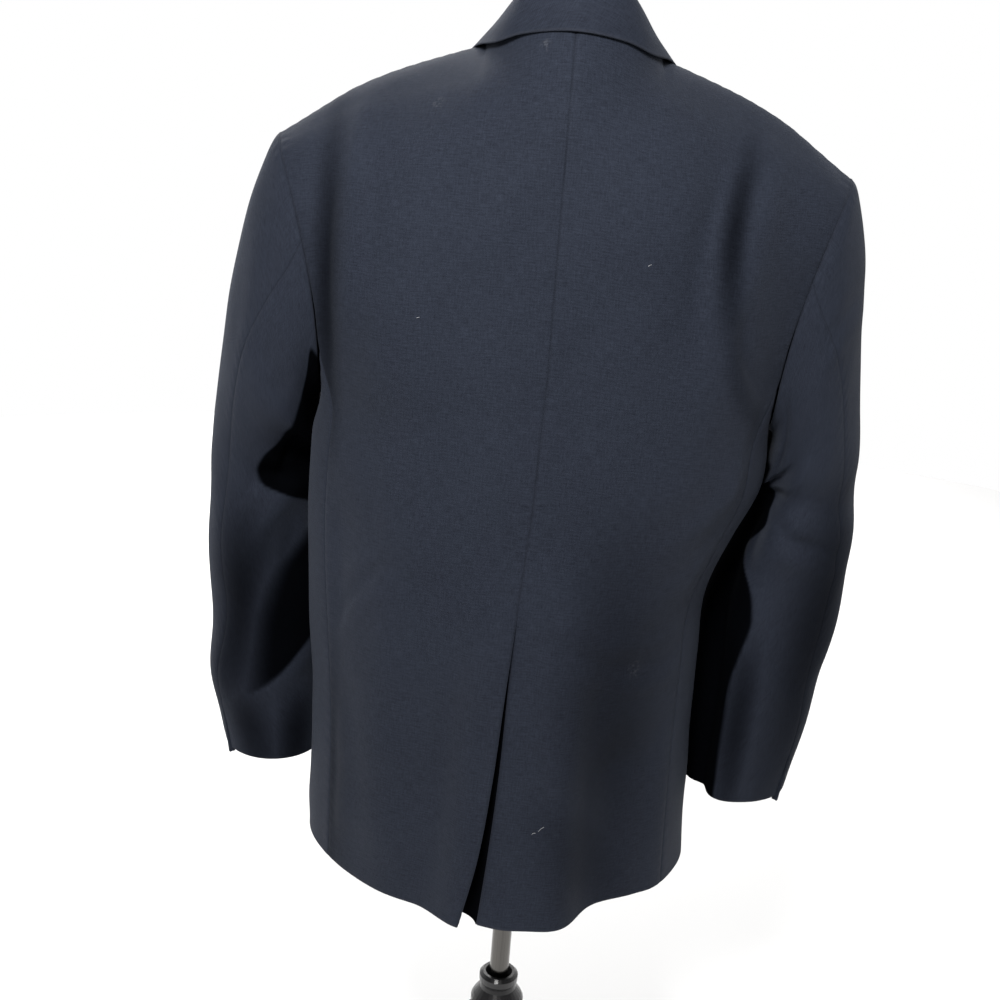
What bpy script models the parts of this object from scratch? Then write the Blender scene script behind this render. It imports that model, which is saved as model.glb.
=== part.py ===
"""A wool blazer worn by a limbless dress form on a tripod stand.

The blazer is a thin wall of cloth cut as a maker cuts it: two back halves with a centre vent,
two side bodies, two fronts with turned lapels, a folded collar and two-piece sleeves.
+Z is up, the floor is Z = 0 and the wearer would look along -Y, so +X is the wearer's left.
Heights in the tables below are measured from the hem, which hangs HEM above the floor.
"""
import math

import bmesh
import bpy
import numpy as np

# ---- driving dimensions, in metres -------------------------------------------------------
HEM = 0.480                 # hem above the floor
WALL = 0.0020               # cloth with its lining
SEAM = 0.0003               # each piece stops this far short of its seam
SHOULDER_GAP = 0.0005       # the same on the fronts and backs, whose walls lean at the shoulder
AXIS_X, AXIS_Y = -0.0070, 0.073   # the pole's axis, with the whole part centred on the origin
POLE_RADIUS = 0.0095
POLE_FOOT = 0.130           # lower end of the pole above the floor
HUB_TOP = 0.336             # upper rim of the hub above the floor
HUB_FOOT = 0.250
HUB_RIM_RADIUS = 0.0192
HUB_RADIUS = 0.0262
RUNNING_GAP = 0.0003        # between the pole and the hub's bore
LEG_RADIUS = 0.0085
LEG_SPREAD = 0.285          # feet from the pole's axis
FORM_FOOT = 0.055           # underside of the form above the hem
VENT_TOP = 0.297
POLE_SINK = 0.0063          # the pole's top inside the socket plate
VENT_LAP = 0.0036           # the left half stands this far off the right at the vent
VENT_KICK = 0.0060          # and its lower corner this much further
VENT_SINK = 0.0012          # the right half lies this far in
UNDERLAP = {"width": 0.034, "depth": 0.022, "turn": 0.001}
FRONT_LAP = 0.0022          # each front stands this far from the line where they lap
HEM_CURVE = 0.034           # the front corners are rounded up by this
LAPEL_LIFT = 0.0042         # the lapel off the front
LAPEL_ROLL = 0.0040         # and this much more at its roll line
LAPEL_TOP = 0.704           # height of the gorge at the roll line
NOTCH_DROP = 0.10           # how far the lapel's top edge falls outwards, as a share of its length
LAPEL_START = {1: 0.340, -1: 0.420}    # the right lapel comes out from under the left front
COLLAR_FOLD = {"inner": 0.0035, "outer": 0.0045, "drop": 0.003, "belly": 0.0018}
JUNCTION = 0.488            # level where the side body's seams reach the armhole
ARMHOLE_BACK = 126.0        # degrees round the armhole where those seams meet it
ARMHOLE_FRONT = 234.0
BUTTON_HEIGHTS = (("button_upper", 0.318), ("button_lower", 0.205))
BUTTON_RADIUS = 0.0105
BUTTON_PROFILE = (
    # share of radius, height
    (0.00, 0.0036), (0.72, 0.0036), (0.80, 0.0046), (0.93, 0.0046),
    (1.00, 0.0036), (1.00, 0.0016), (0.80, 0.0006), (0.00, 0.0006),
)
BUTTON_SEAT = 0.0004        # thread shank between the front and the button
PLATE_PROFILE = (
    # radius, depth below the form's underside
    (0.0000, 0.0003), (0.0400, 0.0003), (0.0420, 0.0023), (0.0420, 0.0053),
    (0.0158, 0.0058), (0.0138, 0.0323), (0.0098, 0.0323), (0.0098, 0.0058), (0.0000, 0.0058),
)
FOOT_PROFILE = (
    # radius, height
    (0.000, 0.0178), (0.012, 0.0178), (0.016, 0.0140), (0.016, 0.0020),
    (0.015, 0.0000), (0.000, 0.0000),
)
LEG_TOP = 0.052             # the legs' upper ends below the hub's rim
LEG_FOOT = 0.030            # their lower ends above the floor
FOOT_OFFSET = 0.006         # the feet's centres past the legs' ends

# ---- colours -----------------------------------------------------------------------------
CLOTH_COLOUR = (0.026, 0.030, 0.042)
BUTTON_COLOUR = (0.010, 0.010, 0.012)
FORM_COLOUR = (0.012, 0.012, 0.013)
STAND_COLOUR = (0.010, 0.010, 0.011)
STEEL_COLOUR = (0.52, 0.50, 0.47)
RUBBER_COLOUR = (0.008, 0.008, 0.008)

# ---- tables of the cut -------------------------------------------------------------------

# Torso: one row for each height. left, right: half widths; back, front: depths from mid;
# mid: the Y of the widest line; back_power: 2 is an ellipse, less is more pointed.
TORSO = (
    # height, left,  right, back,  front, mid,    back_power
    (-0.01, 0.1980, 0.1690, 0.160, 0.110, -0.026, 1.62),
    (0.06, 0.1980, 0.1650, 0.157, 0.112, -0.024, 1.66),
    (0.15, 0.1980, 0.1610, 0.151, 0.114, -0.018, 1.72),
    (0.22, 0.2010, 0.1590, 0.147, 0.115, -0.013, 1.80),
    (0.29, 0.2050, 0.1600, 0.142, 0.117, -0.009, 1.88),
    (0.33, 0.2060, 0.1740, 0.138, 0.118, -0.007, 1.94),
    (0.38, 0.2040, 0.1940, 0.136, 0.120, -0.006, 2.02),
    (0.43, 0.2000, 0.1980, 0.136, 0.122, -0.006, 2.10),
    (0.50, 0.1980, 0.1970, 0.138, 0.123, -0.006, 2.15),
)
FRONT_POWER = 2.15
SIDE_SEAM_BACK = 62.0       # degrees round the torso from centre back
SIDE_SEAM_FRONT = 118.0
# Centre back edge of each half: how far past the centre it stands, below and above the vent top
BACK_EDGE = (
    # height, left half, right half
    (-0.01, 0.0410, -0.0220),
    (0.06, 0.0310, -0.0205),
    (0.14, 0.0215, -0.0185),
    (0.23, 0.0135, -0.0160),
    (0.297, 0.0088, -0.0088),
    (0.387, 0.0030, -0.0030),
    (0.50, 0.0010, -0.0010),
)
# Front edge of each half: positive stays on its own side of the centre
FRONT_EDGE = (
    # height, past centre
    (0.00, 0.058),
    (0.03, 0.030),
    (0.08, 0.004),
    (0.14, -0.014),
    (0.20, -0.020),
    (0.335, -0.022),
    (0.42, 0.004),
    (0.47, 0.015),
)
# Rows above the armhole's foot. beta: degrees round the armhole from the shoulder point.
BACK_ROWS = (
    # beta, centre y, centre z, inner (x, y, z), outer (x, y, z)
    (126, 0.1300, 0.488, (0.068, 0.1280, 0.488), (0.135, 0.1090, 0.486)),
    (100, 0.1310, 0.550, (0.070, 0.1290, 0.550), (0.138, 0.1090, 0.545)),
    (68, 0.1310, 0.610, (0.073, 0.1250, 0.610), (0.146, 0.0990, 0.602)),
    (43, 0.1210, 0.668, (0.074, 0.1080, 0.664), (0.150, 0.0760, 0.647)),
    (22, 0.1020, 0.725, (0.072, 0.0690, 0.710), (0.153, 0.0400, 0.686)),
)
FRONT_ROWS = (
    # beta, roll line (x, y, z), inner (x, y, z), outer (x, y, z)
    (126, (0.018, -0.1300, 0.488), (0.071, -0.1270, 0.487), (0.136, -0.1070, 0.484)),
    (100, (0.030, -0.1310, 0.550), (0.080, -0.1270, 0.544), (0.140, -0.1070, 0.537)),
    (68, (0.043, -0.1170, 0.605), (0.092, -0.1110, 0.600), (0.150, -0.0920, 0.596)),
    (43, (0.054, -0.0880, 0.662), (0.100, -0.0820, 0.654), (0.153, -0.0690, 0.641)),
    (22, (0.063, -0.0480, 0.706), (0.105, -0.0430, 0.694), (0.156, -0.0370, 0.678)),
)
NECK_POINT = (0.070, 0.006, 0.737)
NECK_BACK = (0.078, 0.768)          # Y and Z of the neck seam at centre back
FORM_SHOULDER = (0.166, 0.001, 0.6995)
ARMHOLE = {"x": 0.215, "lean": 0.023, "bow": 0.016, "y": -0.003, "depth": 0.070,
           "z": 0.545, "height": 0.108}

# Sleeves: one row for each ring from the armhole to the cuff.
SLEEVE_LEFT = (
    # out_x, out_z, in_x,   in_z,   mid_y,  half_y, bow
    (0.2388, 0.6535, 0.1958, 0.4370, -0.003, 0.0700, 0.0167),
    (0.2480, 0.6370, 0.2050, 0.4290, -0.005, 0.0720, 0.013),
    (0.2630, 0.5930, 0.2070, 0.4150, -0.010, 0.0730, 0.006),
    (0.2800, 0.5200, 0.2060, 0.3980, -0.020, 0.0730, 0.000),
    (0.2920, 0.4350, 0.2040, 0.3750, -0.032, 0.0700, 0.000),
    (0.3025, 0.3450, 0.2025, 0.3330, -0.040, 0.0660, 0.000),
    (0.3070, 0.2500, 0.2000, 0.2500, -0.048, 0.0610, 0.000),
    (0.3050, 0.1550, 0.1980, 0.1580, -0.056, 0.0550, 0.000),
    (0.2880, 0.0650, 0.1970, 0.0650, -0.060, 0.0500, 0.000),
)
SLEEVE_RIGHT = (
    # out_x, out_z, in_x,   in_z,   mid_y,  half_y, bow
    (0.2388, 0.6535, 0.1958, 0.4370, -0.003, 0.0700, 0.0167),
    (0.2460, 0.6400, 0.2040, 0.4290, -0.005, 0.0720, 0.013),
    (0.2575, 0.5960, 0.2060, 0.4150, -0.009, 0.0730, 0.006),
    (0.2650, 0.5350, 0.2050, 0.3980, -0.018, 0.0730, 0.000),
    (0.2765, 0.4600, 0.2020, 0.3780, -0.026, 0.0700, 0.000),
    (0.2890, 0.3650, 0.1900, 0.3440, -0.032, 0.0660, 0.000),
    (0.2900, 0.2750, 0.1630, 0.2640, -0.040, 0.0610, 0.000),
    (0.2850, 0.1800, 0.1595, 0.1720, -0.048, 0.0560, 0.000),
    (0.2650, 0.0640, 0.1630, 0.0640, -0.054, 0.0500, 0.000),
)
# Seams of the sleeve: part of its length, degrees round the ring
HIND_SEAM = ((0.0, 76.0), (0.125, 80.0), (0.25, 70.0), (0.375, 52.0), (0.5, 40.0), (1.0, 34.0))
FORE_SEAM = 236.0

# Folds: a soft ridge (or trough, where negative) along a line on the back, fronts or a sleeve.
BACK_FOLDS = (
    # side, x0,    z0,    x1,    z1,    width, lift
    (1, 0.166, 0.680, 0.176, 0.470, 0.013, 0.0050),
    (1, 0.190, 0.600, 0.187, 0.480, 0.012, -0.0050),
    (1, 0.128, 0.520, 0.120, 0.060, 0.022, 0.0045),
    (1, 0.085, 0.300, 0.078, 0.000, 0.018, -0.0050),
    (1, 0.160, 0.330, 0.185, 0.200, 0.016, -0.0050),
    (-1, 0.168, 0.680, 0.142, 0.560, 0.013, 0.0045),
    (-1, 0.142, 0.560, 0.170, 0.400, 0.015, 0.0040),
    (-1, 0.120, 0.640, 0.110, 0.480, 0.020, -0.0040),
    (-1, 0.036, 0.280, 0.048, 0.000, 0.016, 0.0090),
    (-1, 0.095, 0.130, 0.093, 0.000, 0.024, -0.0170),
    (-1, 0.140, 0.330, 0.060, 0.250, 0.016, 0.0035),
)
FRONT_FOLDS = (
    # side, x0,    z0,    x1,    z1,    width, lift
    (1, 0.166, 0.650, 0.160, 0.500, 0.014, 0.0045),
    (1, 0.000, 0.330, 0.110, 0.370, 0.015, 0.0035),
    (1, 0.090, 0.300, 0.105, 0.000, 0.022, 0.0060),
    (-1, 0.166, 0.650, 0.156, 0.500, 0.014, 0.0045),
    (-1, 0.010, 0.330, 0.105, 0.360, 0.015, 0.0035),
    (-1, 0.085, 0.280, 0.095, 0.000, 0.022, 0.0060),
)
SLEEVE_FOLDS = (
    # side, angle0, part0, angle1, part1, width in degrees, width in length, lift
    (1, 150.0, 0.52, 95.0, 0.58, 34.0, 0.055, -0.0200),
    (1, 175.0, 0.66, 75.0, 0.80, 40.0, 0.050, -0.0180),
    (1, 170.0, 0.78, 60.0, 0.88, 40.0, 0.030, 0.0070),
    (1, 120.0, 0.40, 60.0, 0.56, 30.0, 0.040, 0.0050),
    (-1, 160.0, 0.48, 150.0, 0.98, 24.0, 0.030, -0.0120),
    (-1, 122.0, 0.50, 112.0, 0.98, 16.0, 0.030, 0.0060),
    (-1, 130.0, 0.56, 60.0, 0.60, 30.0, 0.022, -0.0080),
    (-1, 118.0, 0.72, 40.0, 0.86, 26.0, 0.025, -0.0060),
)
# Lapel: how far it reaches from the roll line, as a share of the front row
LAPEL = ((0.0, 0.02), (0.45, 0.37), (0.8, 0.53), (1.0, 0.57))
# Collar: fold line and outer edge from centre back to the gorge
COLLAR_ROWS = (
    # part, seam (x, y, z),           fold (x, y, z),            outer edge (x, y, z)
    (0.00, (0.000, 0.0735, 0.7665), (0.000, 0.0735, 0.7985), (0.000, 0.0960, 0.7530)),
    (0.22, (0.0305, 0.0660, 0.7640), (0.029, 0.0670, 0.7905), (0.039, 0.0880, 0.7510)),
    (0.42, (0.0525, 0.0435, 0.7540), (0.047, 0.0430, 0.7735), (0.0630, 0.0580, 0.7460)),
    (0.60, (0.0650, 0.0100, 0.7380), (0.0550, 0.0110, 0.7560), (0.0775, 0.0140, 0.7400)),
    (0.80, (0.0635, -0.0240, 0.7235), (0.0575, -0.0260, 0.7390), (0.0920, -0.0310, 0.7180)),
    (1.00, (0.0575, -0.0600, 0.6975), (0.060, -0.0640, 0.7080), (0.106, -0.0700, 0.6790)),
)
# Form: one row for each height above the hem
FORM = (
    # height, half width, back, front, mid
    (0.055, 0.108, 0.070, 0.076, -0.006),
    (0.110, 0.122, 0.080, 0.084, -0.006),
    (0.180, 0.130, 0.088, 0.088, -0.006),
    (0.260, 0.128, 0.088, 0.090, -0.006),
    (0.330, 0.130, 0.088, 0.092, -0.006),
    (0.420, 0.143, 0.094, 0.100, -0.004),
    (0.510, 0.156, 0.102, 0.106, -0.002),
    (0.580, 0.161, 0.104, 0.100, 0.000),
    (0.635, 0.163, 0.094, 0.082, 0.000),
    (0.670, 0.160, 0.078, 0.060, 0.002),
    (0.688, 0.150, 0.062, 0.046, 0.004),
    (0.701, 0.124, 0.056, 0.044, 0.006),
    (0.714, 0.088, 0.052, 0.046, 0.006),
    (0.726, 0.058, 0.046, 0.048, 0.008),
    (0.745, 0.047, 0.038, 0.048, 0.006),
    (0.785, 0.044, 0.038, 0.046, 0.006),
)


# ---- curves and surfaces -----------------------------------------------------------------
def through(knots, values, at, mirror_first=None):
    """Smooth curve through values at knots: cubic pieces whose slope at a knot is the mean of
    its two spans' slopes. mirror_first flips the first span's slope, for a mirrored edge."""
    knots = np.asarray(knots, float)
    values = np.asarray(values, float)
    at = np.clip(np.asarray(at, float), knots[0], knots[-1])
    wide = (-1,) + (1,) * (values.ndim - 1)
    step = np.diff(knots)
    slope = np.diff(values, axis=0) / step.reshape(wide)
    tangent = np.empty_like(values)
    tangent[0], tangent[-1] = slope[0], slope[-1]
    before, after = step[:-1].reshape(wide), step[1:].reshape(wide)
    tangent[1:-1] = (slope[:-1] * after + slope[1:] * before) / (before + after)
    if mirror_first is not None:
        tangent[0] = slope[0] * np.asarray(mirror_first, float)
    low = np.clip(np.searchsorted(knots, at, side="right") - 1, 0, len(knots) - 2)
    part = ((at - knots[low]) / step[low]).reshape(at.shape + (1,) * (values.ndim - 1))
    span = step[low].reshape(part.shape)
    square, cube = part ** 2, part ** 3
    return ((2 * cube - 3 * square + 1) * values[low]
            + (cube - 2 * square + part) * span * tangent[low]
            + (3 * square - 2 * cube) * values[low + 1]
            + (cube - square) * span * tangent[low + 1])


def column(rows, height, index):
    """One column of a table whose first column is the height."""
    table = np.array(rows, float)
    return through(table[:, 0], table[:, index], height)


def bent(value, power):
    """Power that keeps the sign."""
    return np.sign(value) * np.abs(value) ** power


def torso(side, turn, height):
    """Point of the torso's wall: a superellipse at each height, turn degrees from centre back."""
    width = column(TORSO, height, 1 if side > 0 else 2)
    back, front = column(TORSO, height, 3), column(TORSO, height, 4)
    mid, power = column(TORSO, height, 5), column(TORSO, height, 6)
    angle = np.radians(turn)
    behind = np.cos(angle) > 0
    power = np.where(behind, power, FRONT_POWER)
    x = width * bent(np.sin(angle), 2 / power)
    y = mid + np.where(behind, back, front) * bent(np.cos(angle), 2 / power)
    return np.stack([x, y, np.broadcast_to(height, x.shape)], axis=-1)


def turn_at(side, x, height, behind):
    """The turn at which the torso's wall stands x from the centre."""
    width = column(TORSO, height, 1 if side > 0 else 2)
    power = column(TORSO, height, 6) if behind else FRONT_POWER
    angle = np.degrees(np.arcsin(bent(x / width, power / 2)))
    return angle if behind else 180.0 - angle


def armhole(beta):
    """Point of the armhole seam, beta degrees from the shoulder point towards the back."""
    hole, angle = ARMHOLE, np.radians(beta)
    x = hole["x"] + hole["lean"] * np.cos(angle) - hole["bow"] * np.sin(angle) ** 2
    y = hole["y"] + hole["depth"] * np.sin(angle)
    z = hole["z"] + hole["height"] * np.cos(angle)
    return np.stack([x, y, z], axis=-1)


def shoulder_seam(part):
    """Point of the shoulder seam, from the neck point at 0 to the shoulder point at 1."""
    points = (NECK_POINT, FORM_SHOULDER, tuple(armhole(0.0)))
    return through((0.0, 0.56, 1.0), points, part)


def back_top(across):
    """The back's upper edge: round the neck to the neck point, then along the shoulder."""
    turn = np.clip(across * 3, 0, 1) * math.pi / 2
    neck_y, neck_z = NECK_BACK
    around = np.stack([NECK_POINT[0] * np.sin(turn),
                       NECK_POINT[1] + (neck_y - NECK_POINT[1]) * np.cos(turn),
                       neck_z + (NECK_POINT[2] - neck_z) * (1 - np.cos(turn))], axis=-1)
    along = shoulder_seam(np.clip(across * 1.5 - 0.5, 0, 1))
    return np.where((across < 1 / 3 + 1e-9)[:, None], around, along)


LOW_HEIGHTS = (-0.006, 0.06, 0.14, 0.22, 0.29, 0.34, 0.39, 0.435)
THIRDS = (0.0, 1 / 3, 2 / 3, 1.0)


def row_levels(first, last, rows):
    """Levels for a panel's rows: the upper third, which rolls over the shoulder, has more."""
    lower = rows * 8 // 13
    return np.concatenate([np.linspace(first, JUNCTION, lower + 1)[:-1],
                           np.linspace(JUNCTION, last, rows - lower + 1)])


def loft(rows, levels, along, last_tangent=None):
    """Rows of points joined by smooth curves, read at the levels in along."""
    rows = np.array(rows)
    grid = through(levels, rows, along)
    if last_tangent is not None:
        # The last span bends so that it arrives along last_tangent.
        start, end = levels[-2], levels[-1]
        inside = along > start
        part = ((along[inside] - start) / (end - start))[:, None, None]
        arrival = (rows[-1] - rows[-2]) / (end - start)
        grid[inside] += (part ** 3 - part ** 2) * (end - start) * (last_tangent - arrival)
    return grid


def smooth_step(low, high, value):
    part = np.clip((value - low) / (high - low), 0, 1)
    return part * part * (3 - 2 * part)


def normals(grid):
    """Unit normals of a grid of points, from its two directions."""
    across, along = np.gradient(grid, axis=1), np.gradient(grid, axis=0)
    normal = np.cross(along, across)
    return normal / np.maximum(np.linalg.norm(normal, axis=-1, keepdims=True), 1e-12)


def near_line(x, z, start, end, width):
    """1 on the line from start to end, falling off like a bell over width and past its ends."""
    start, end = np.array(start), np.array(end)
    way = end - start
    length = np.linalg.norm(way)
    along = ((x - start[0]) * way[0] + (z - start[1]) * way[1]) / length ** 2
    off = np.abs((x - start[0]) * way[1] - (z - start[1]) * way[0]) / length
    past = np.maximum(0, np.maximum(-along, along - 1)) * length
    return np.exp(-(off ** 2 + past ** 2 * 0.6) / (2 * width ** 2))


def folded(grid, folds, side, calm):
    """The grid moved out along its normals by each fold on its side; calm is 0 at fixed seams."""
    lift = np.zeros(grid.shape[:2])
    for fold_side, x0, z0, x1, z1, width, height in folds:
        if fold_side == side:
            lift += height * near_line(grid[..., 0], grid[..., 2], (x0, z0), (x1, z1), width)
    return grid + normals(grid) * (lift * calm)[..., None]


def back_grid(side, columns, rows):
    """Back half: torso sections up to the armhole's foot, then rows up to neck and shoulder."""
    across = np.linspace(0, 1, columns + 1)
    sections, levels = [], []
    for height in LOW_HEIGHTS:
        edge = column(BACK_EDGE, height, 1 if side > 0 else 2) if height < 0.5 else 0.0
        start = turn_at(side, float(edge), height, True)
        sections.append(torso(side, start + (SIDE_SEAM_BACK - start) * across, height))
        levels.append(height)
    for beta, centre_y, centre_z, inner, outer in BACK_ROWS:
        points = ((0.0, centre_y, centre_z), inner, outer, tuple(armhole(beta)))
        sections.append(through(THIRDS, points, across, mirror_first=(1.0, 0.0, 0.0)))
        levels.append(centre_z)
    sections.append(back_top(across))
    levels.append(NECK_BACK[1])
    over = smooth_step(0.25, 0.45, across)[:, None]
    last = np.array(sections[-1]) - np.array(sections[-2])
    span = levels[-1] - levels[-2]
    flat = np.linalg.norm(last, axis=-1, keepdims=True) * np.array([0.0, -1.0, 0.05])
    arrive = (last * (1 - over) + flat * over) / span
    grid = loft(sections, levels, row_levels(levels[0], levels[-1], rows), arrive)
    height = grid[..., 2]
    calm = (1 - smooth_step(0.64, 0.71, height)) * (1 - smooth_step(0.86, 1.0, across))[None, :]
    grid = folded(grid, BACK_FOLDS, side, calm)
    # The left half laps over the right at the vent, and its lower corner kicks out.
    near_vent = (1 - smooth_step(0.0, 0.30, across))[None, :]
    low = 1 - smooth_step(VENT_TOP - 0.05, VENT_TOP + 0.02, height)
    kick = 1 - smooth_step(0.0, 0.22, height)
    if side > 0:
        grid[..., 1] += near_vent * (VENT_LAP * low + VENT_KICK * kick)
    else:
        grid[..., 1] -= near_vent * VENT_SINK * low
    return grid


def underlap_grid(columns, rows):
    """The right half's vent underlap: it turns in from that half's edge and passes deep under
    the left half."""
    edge = back_grid(-1, 12, 52)[:, 0]
    edge = edge[edge[:, 2] < VENT_TOP - 0.010]
    height = np.linspace(edge[0, 2], edge[-1, 2], rows + 1)
    start = np.stack([np.interp(height, edge[:, 2], edge[:, i]) for i in range(3)], axis=-1)
    open_low = (1 - smooth_step(0.05, VENT_TOP, height))[:, None]
    across = np.linspace(0, 1, columns + 1)[None, :]
    grid = np.repeat(start[:, None, :], columns + 1, axis=1)
    depth = UNDERLAP["depth"] * (0.22 + 0.78 * open_low)
    grid[..., 0] -= UNDERLAP["turn"] + UNDERLAP["width"] * across ** 1.5
    grid[..., 1] -= UNDERLAP["turn"] + depth * (1 - (1 - across) ** 2)
    return grid


def front_grid(side, columns, rows):
    """Front half: from the side body to the front edge and, above the buttons, the roll line."""
    across = np.linspace(0, 1, columns + 1)
    sections, levels = [], []
    for height in LOW_HEIGHTS:
        end = turn_at(side, float(column(FRONT_EDGE, max(height, 0.0), 1)), height, False)
        row = torso(side, SIDE_SEAM_FRONT + (end - SIDE_SEAM_FRONT) * across, height)
        row[:, 2] += HEM_CURVE * across ** 5 * (1 - smooth_step(0.0, 0.16, height))
        sections.append(row)
        levels.append(height)
    for beta, roll, inner, outer in FRONT_ROWS:
        points = (tuple(armhole(-beta)), outer, inner, roll)
        sections.append(through(THIRDS, points, across))
        levels.append(roll[2])
    sections.append(shoulder_seam(1 - across))
    levels.append(NECK_POINT[2] + 0.02)
    last = np.array(sections[-1]) - np.array(sections[-2])
    flat = np.linalg.norm(last, axis=-1, keepdims=True) * np.array([0.0, 1.0, 0.05])
    arrive = flat / (levels[-1] - levels[-2])
    grid = loft(sections, levels, row_levels(levels[0], levels[-1], rows), arrive)
    # The right half lies under the left where they lap.
    lap = 1 - smooth_step(0.035, 0.075, grid[..., 0])
    low = 1 - smooth_step(0.42, 0.47, grid[..., 2])
    grid[..., 1] -= lap * low * FRONT_LAP * side
    calm = (1 - smooth_step(0.62, 0.70, grid[..., 2])) * smooth_step(0.0, 0.14, across)[None, :]
    return folded(grid, FRONT_FOLDS, side, calm)


def side_grid(side, columns, rows):
    """Side body: torso sections between the side seams, up to the armhole's foot."""
    across = np.linspace(0, 1, columns + 1)
    turn = SIDE_SEAM_BACK + (SIDE_SEAM_FRONT - SIDE_SEAM_BACK) * across
    dip = {0.39: 0.008, 0.435: 0.028}       # the rows sag between the seams, under the armhole
    sections = [torso(side, turn, height - dip.get(height, 0.0) * np.sin(math.pi * across))
                for height in LOW_HEIGHTS]
    top = armhole(ARMHOLE_BACK + (ARMHOLE_FRONT - ARMHOLE_BACK) * across)
    # A row past the top keeps the seams on the back's and the front's edges.
    edge_share = (np.abs(2 * across - 1) ** 4)[:, None]
    past_edge = np.where((across < 0.5)[:, None], armhole(BACK_ROWS[1][0]),
                         armhole(-FRONT_ROWS[1][0]))
    past = past_edge * edge_share + (top + (0, 0, 0.03)) * (1 - edge_share)
    levels = (*LOW_HEIGHTS, JUNCTION, BACK_ROWS[1][2])
    return loft(sections + [top, past], levels, np.linspace(levels[0], JUNCTION, rows + 1))


def sleeve_grid(side, first, last, columns, rows, start=0.0):
    """Part of a sleeve between two seams, each a table of (part of length, degrees).
    A ring runs outward (0), back (90), inward (180) and front (270)."""
    table = np.array(SLEEVE_LEFT if side > 0 else SLEEVE_RIGHT)
    levels = np.linspace(0, 1, len(table))
    along = np.linspace(start, 1, rows + 1)
    out_x, out_z, in_x, in_z, mid_y, half_y, bow = through(levels, table, along).T
    low = column(first, along, 1)[:, None]
    high = column(last, along, 1)[:, None]
    degrees = low + (high - low) * np.linspace(0, 1, columns + 1)[None, :]
    angle = np.radians(degrees)
    cosine, sine = np.cos(angle), np.sin(angle)
    grid = np.empty(degrees.shape + (3,))
    grid[..., 0] = ((out_x + in_x) / 2)[:, None] + ((out_x - in_x) / 2)[:, None] * cosine
    grid[..., 0] -= bow[:, None] * sine ** 2
    grid[..., 1] = mid_y[:, None] + half_y[:, None] * sine
    grid[..., 2] = ((out_z + in_z) / 2)[:, None] + ((out_z - in_z) / 2)[:, None] * cosine
    lift = np.zeros(degrees.shape)
    part = np.broadcast_to(along[:, None], degrees.shape)
    for fold_side, angle0, part0, angle1, part1, wide, long, height in SLEEVE_FOLDS:
        if fold_side == side:
            scale = long / wide
            lift += height * near_line(degrees * scale, part, (angle0 * scale, part0),
                                       (angle1 * scale, part1), long)
    axis = np.stack([(out_x + in_x) / 2, mid_y, (out_z + in_z) / 2], axis=-1)[:, None, :]
    away = grid - axis
    away /= np.linalg.norm(away, axis=-1, keepdims=True)
    return grid + away * lift[..., None]


def lapel_grid(side, columns, rows):
    """Lapel: it lies on the front, lifted off it, from the roll line to its outer edge."""
    fine_columns, fine_rows = 24, 60
    front = front_grid(side, fine_columns, fine_rows)
    face = normals(front)
    across = np.linspace(0, 1, columns + 1)
    along = np.linspace(0, 1, rows + 1)
    roll_heights = front[:, -1, 2]
    start = np.interp(LAPEL_START[side], roll_heights, np.arange(fine_rows + 1))
    end = np.interp(LAPEL_TOP, roll_heights, np.arange(fine_rows + 1))
    share = column(LAPEL, along, 1)[:, None]
    u = (1 - share * across[None, :]) * fine_columns - 0.02
    drop = NOTCH_DROP * across[None, :] * smooth_step(0.75, 1.0, along)[:, None]
    v = start + (end - start) * (along[:, None] - drop)
    column_low = np.clip(np.floor(u).astype(int), 0, fine_columns - 1)
    row_low = np.clip(np.floor(v).astype(int), 0, fine_rows - 1)
    part_u, part_v = (u - column_low)[..., None], (v - row_low)[..., None]

    def read(field):
        lower = field[row_low, column_low] * (1 - part_u) + field[row_low, column_low + 1] * part_u
        upper = (field[row_low + 1, column_low] * (1 - part_u)
                 + field[row_low + 1, column_low + 1] * part_u)
        return lower * (1 - part_v) + upper * part_v

    roll = np.exp(-(across / 0.22) ** 2)[None, :] * (1 - 0.3 * along[:, None])
    lift = LAPEL_LIFT + LAPEL_ROLL * roll
    return read(front) + read(face) * lift[..., None]


def collar_grid(columns, rows):
    """Collar: up from the neck seam, over the fold and down to the outer edge, round the neck."""
    table_part = [row[0] for row in COLLAR_ROWS]
    around = np.linspace(-1, 1, columns + 1)
    seam, fold, edge = (through(table_part, [row[i] for row in COLLAR_ROWS], np.abs(around),
                                mirror_first=(1.0, 0.0, 0.0)) for i in (1, 2, 3))
    for line in (seam, fold, edge):
        line[:, 0] *= np.sign(around)
    out = edge - seam
    out[:, 2] = 0
    out /= np.linalg.norm(out, axis=-1, keepdims=True)
    drop = np.array([0.0, 0.0, COLLAR_FOLD["drop"]])
    inner_top = fold - out * COLLAR_FOLD["inner"] - drop
    outer_top = fold + out * COLLAR_FOLD["outer"] - drop
    half = (edge + outer_top) / 2 + out * COLLAR_FOLD["belly"]
    lines = np.array([seam, seam * 0.45 + inner_top * 0.55, inner_top, fold, outer_top, half, edge])
    return through((0, 0.26, 0.46, 0.52, 0.58, 0.8, 1.0), lines, np.linspace(0, 1, rows + 1))


# ---- solids ------------------------------------------------------------------------------
def material(name, colour, roughness, metallic=0.0):
    """A plain Principled material."""
    made = bpy.data.materials.new(name)
    made.use_nodes = True
    shader = made.node_tree.nodes["Principled BSDF"]
    shader.inputs["Base Color"].default_value = (*colour, 1.0)
    shader.inputs["Roughness"].default_value = roughness
    shader.inputs["Metallic"].default_value = metallic
    made.diffuse_color = (*colour, 1.0)
    return made


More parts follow.
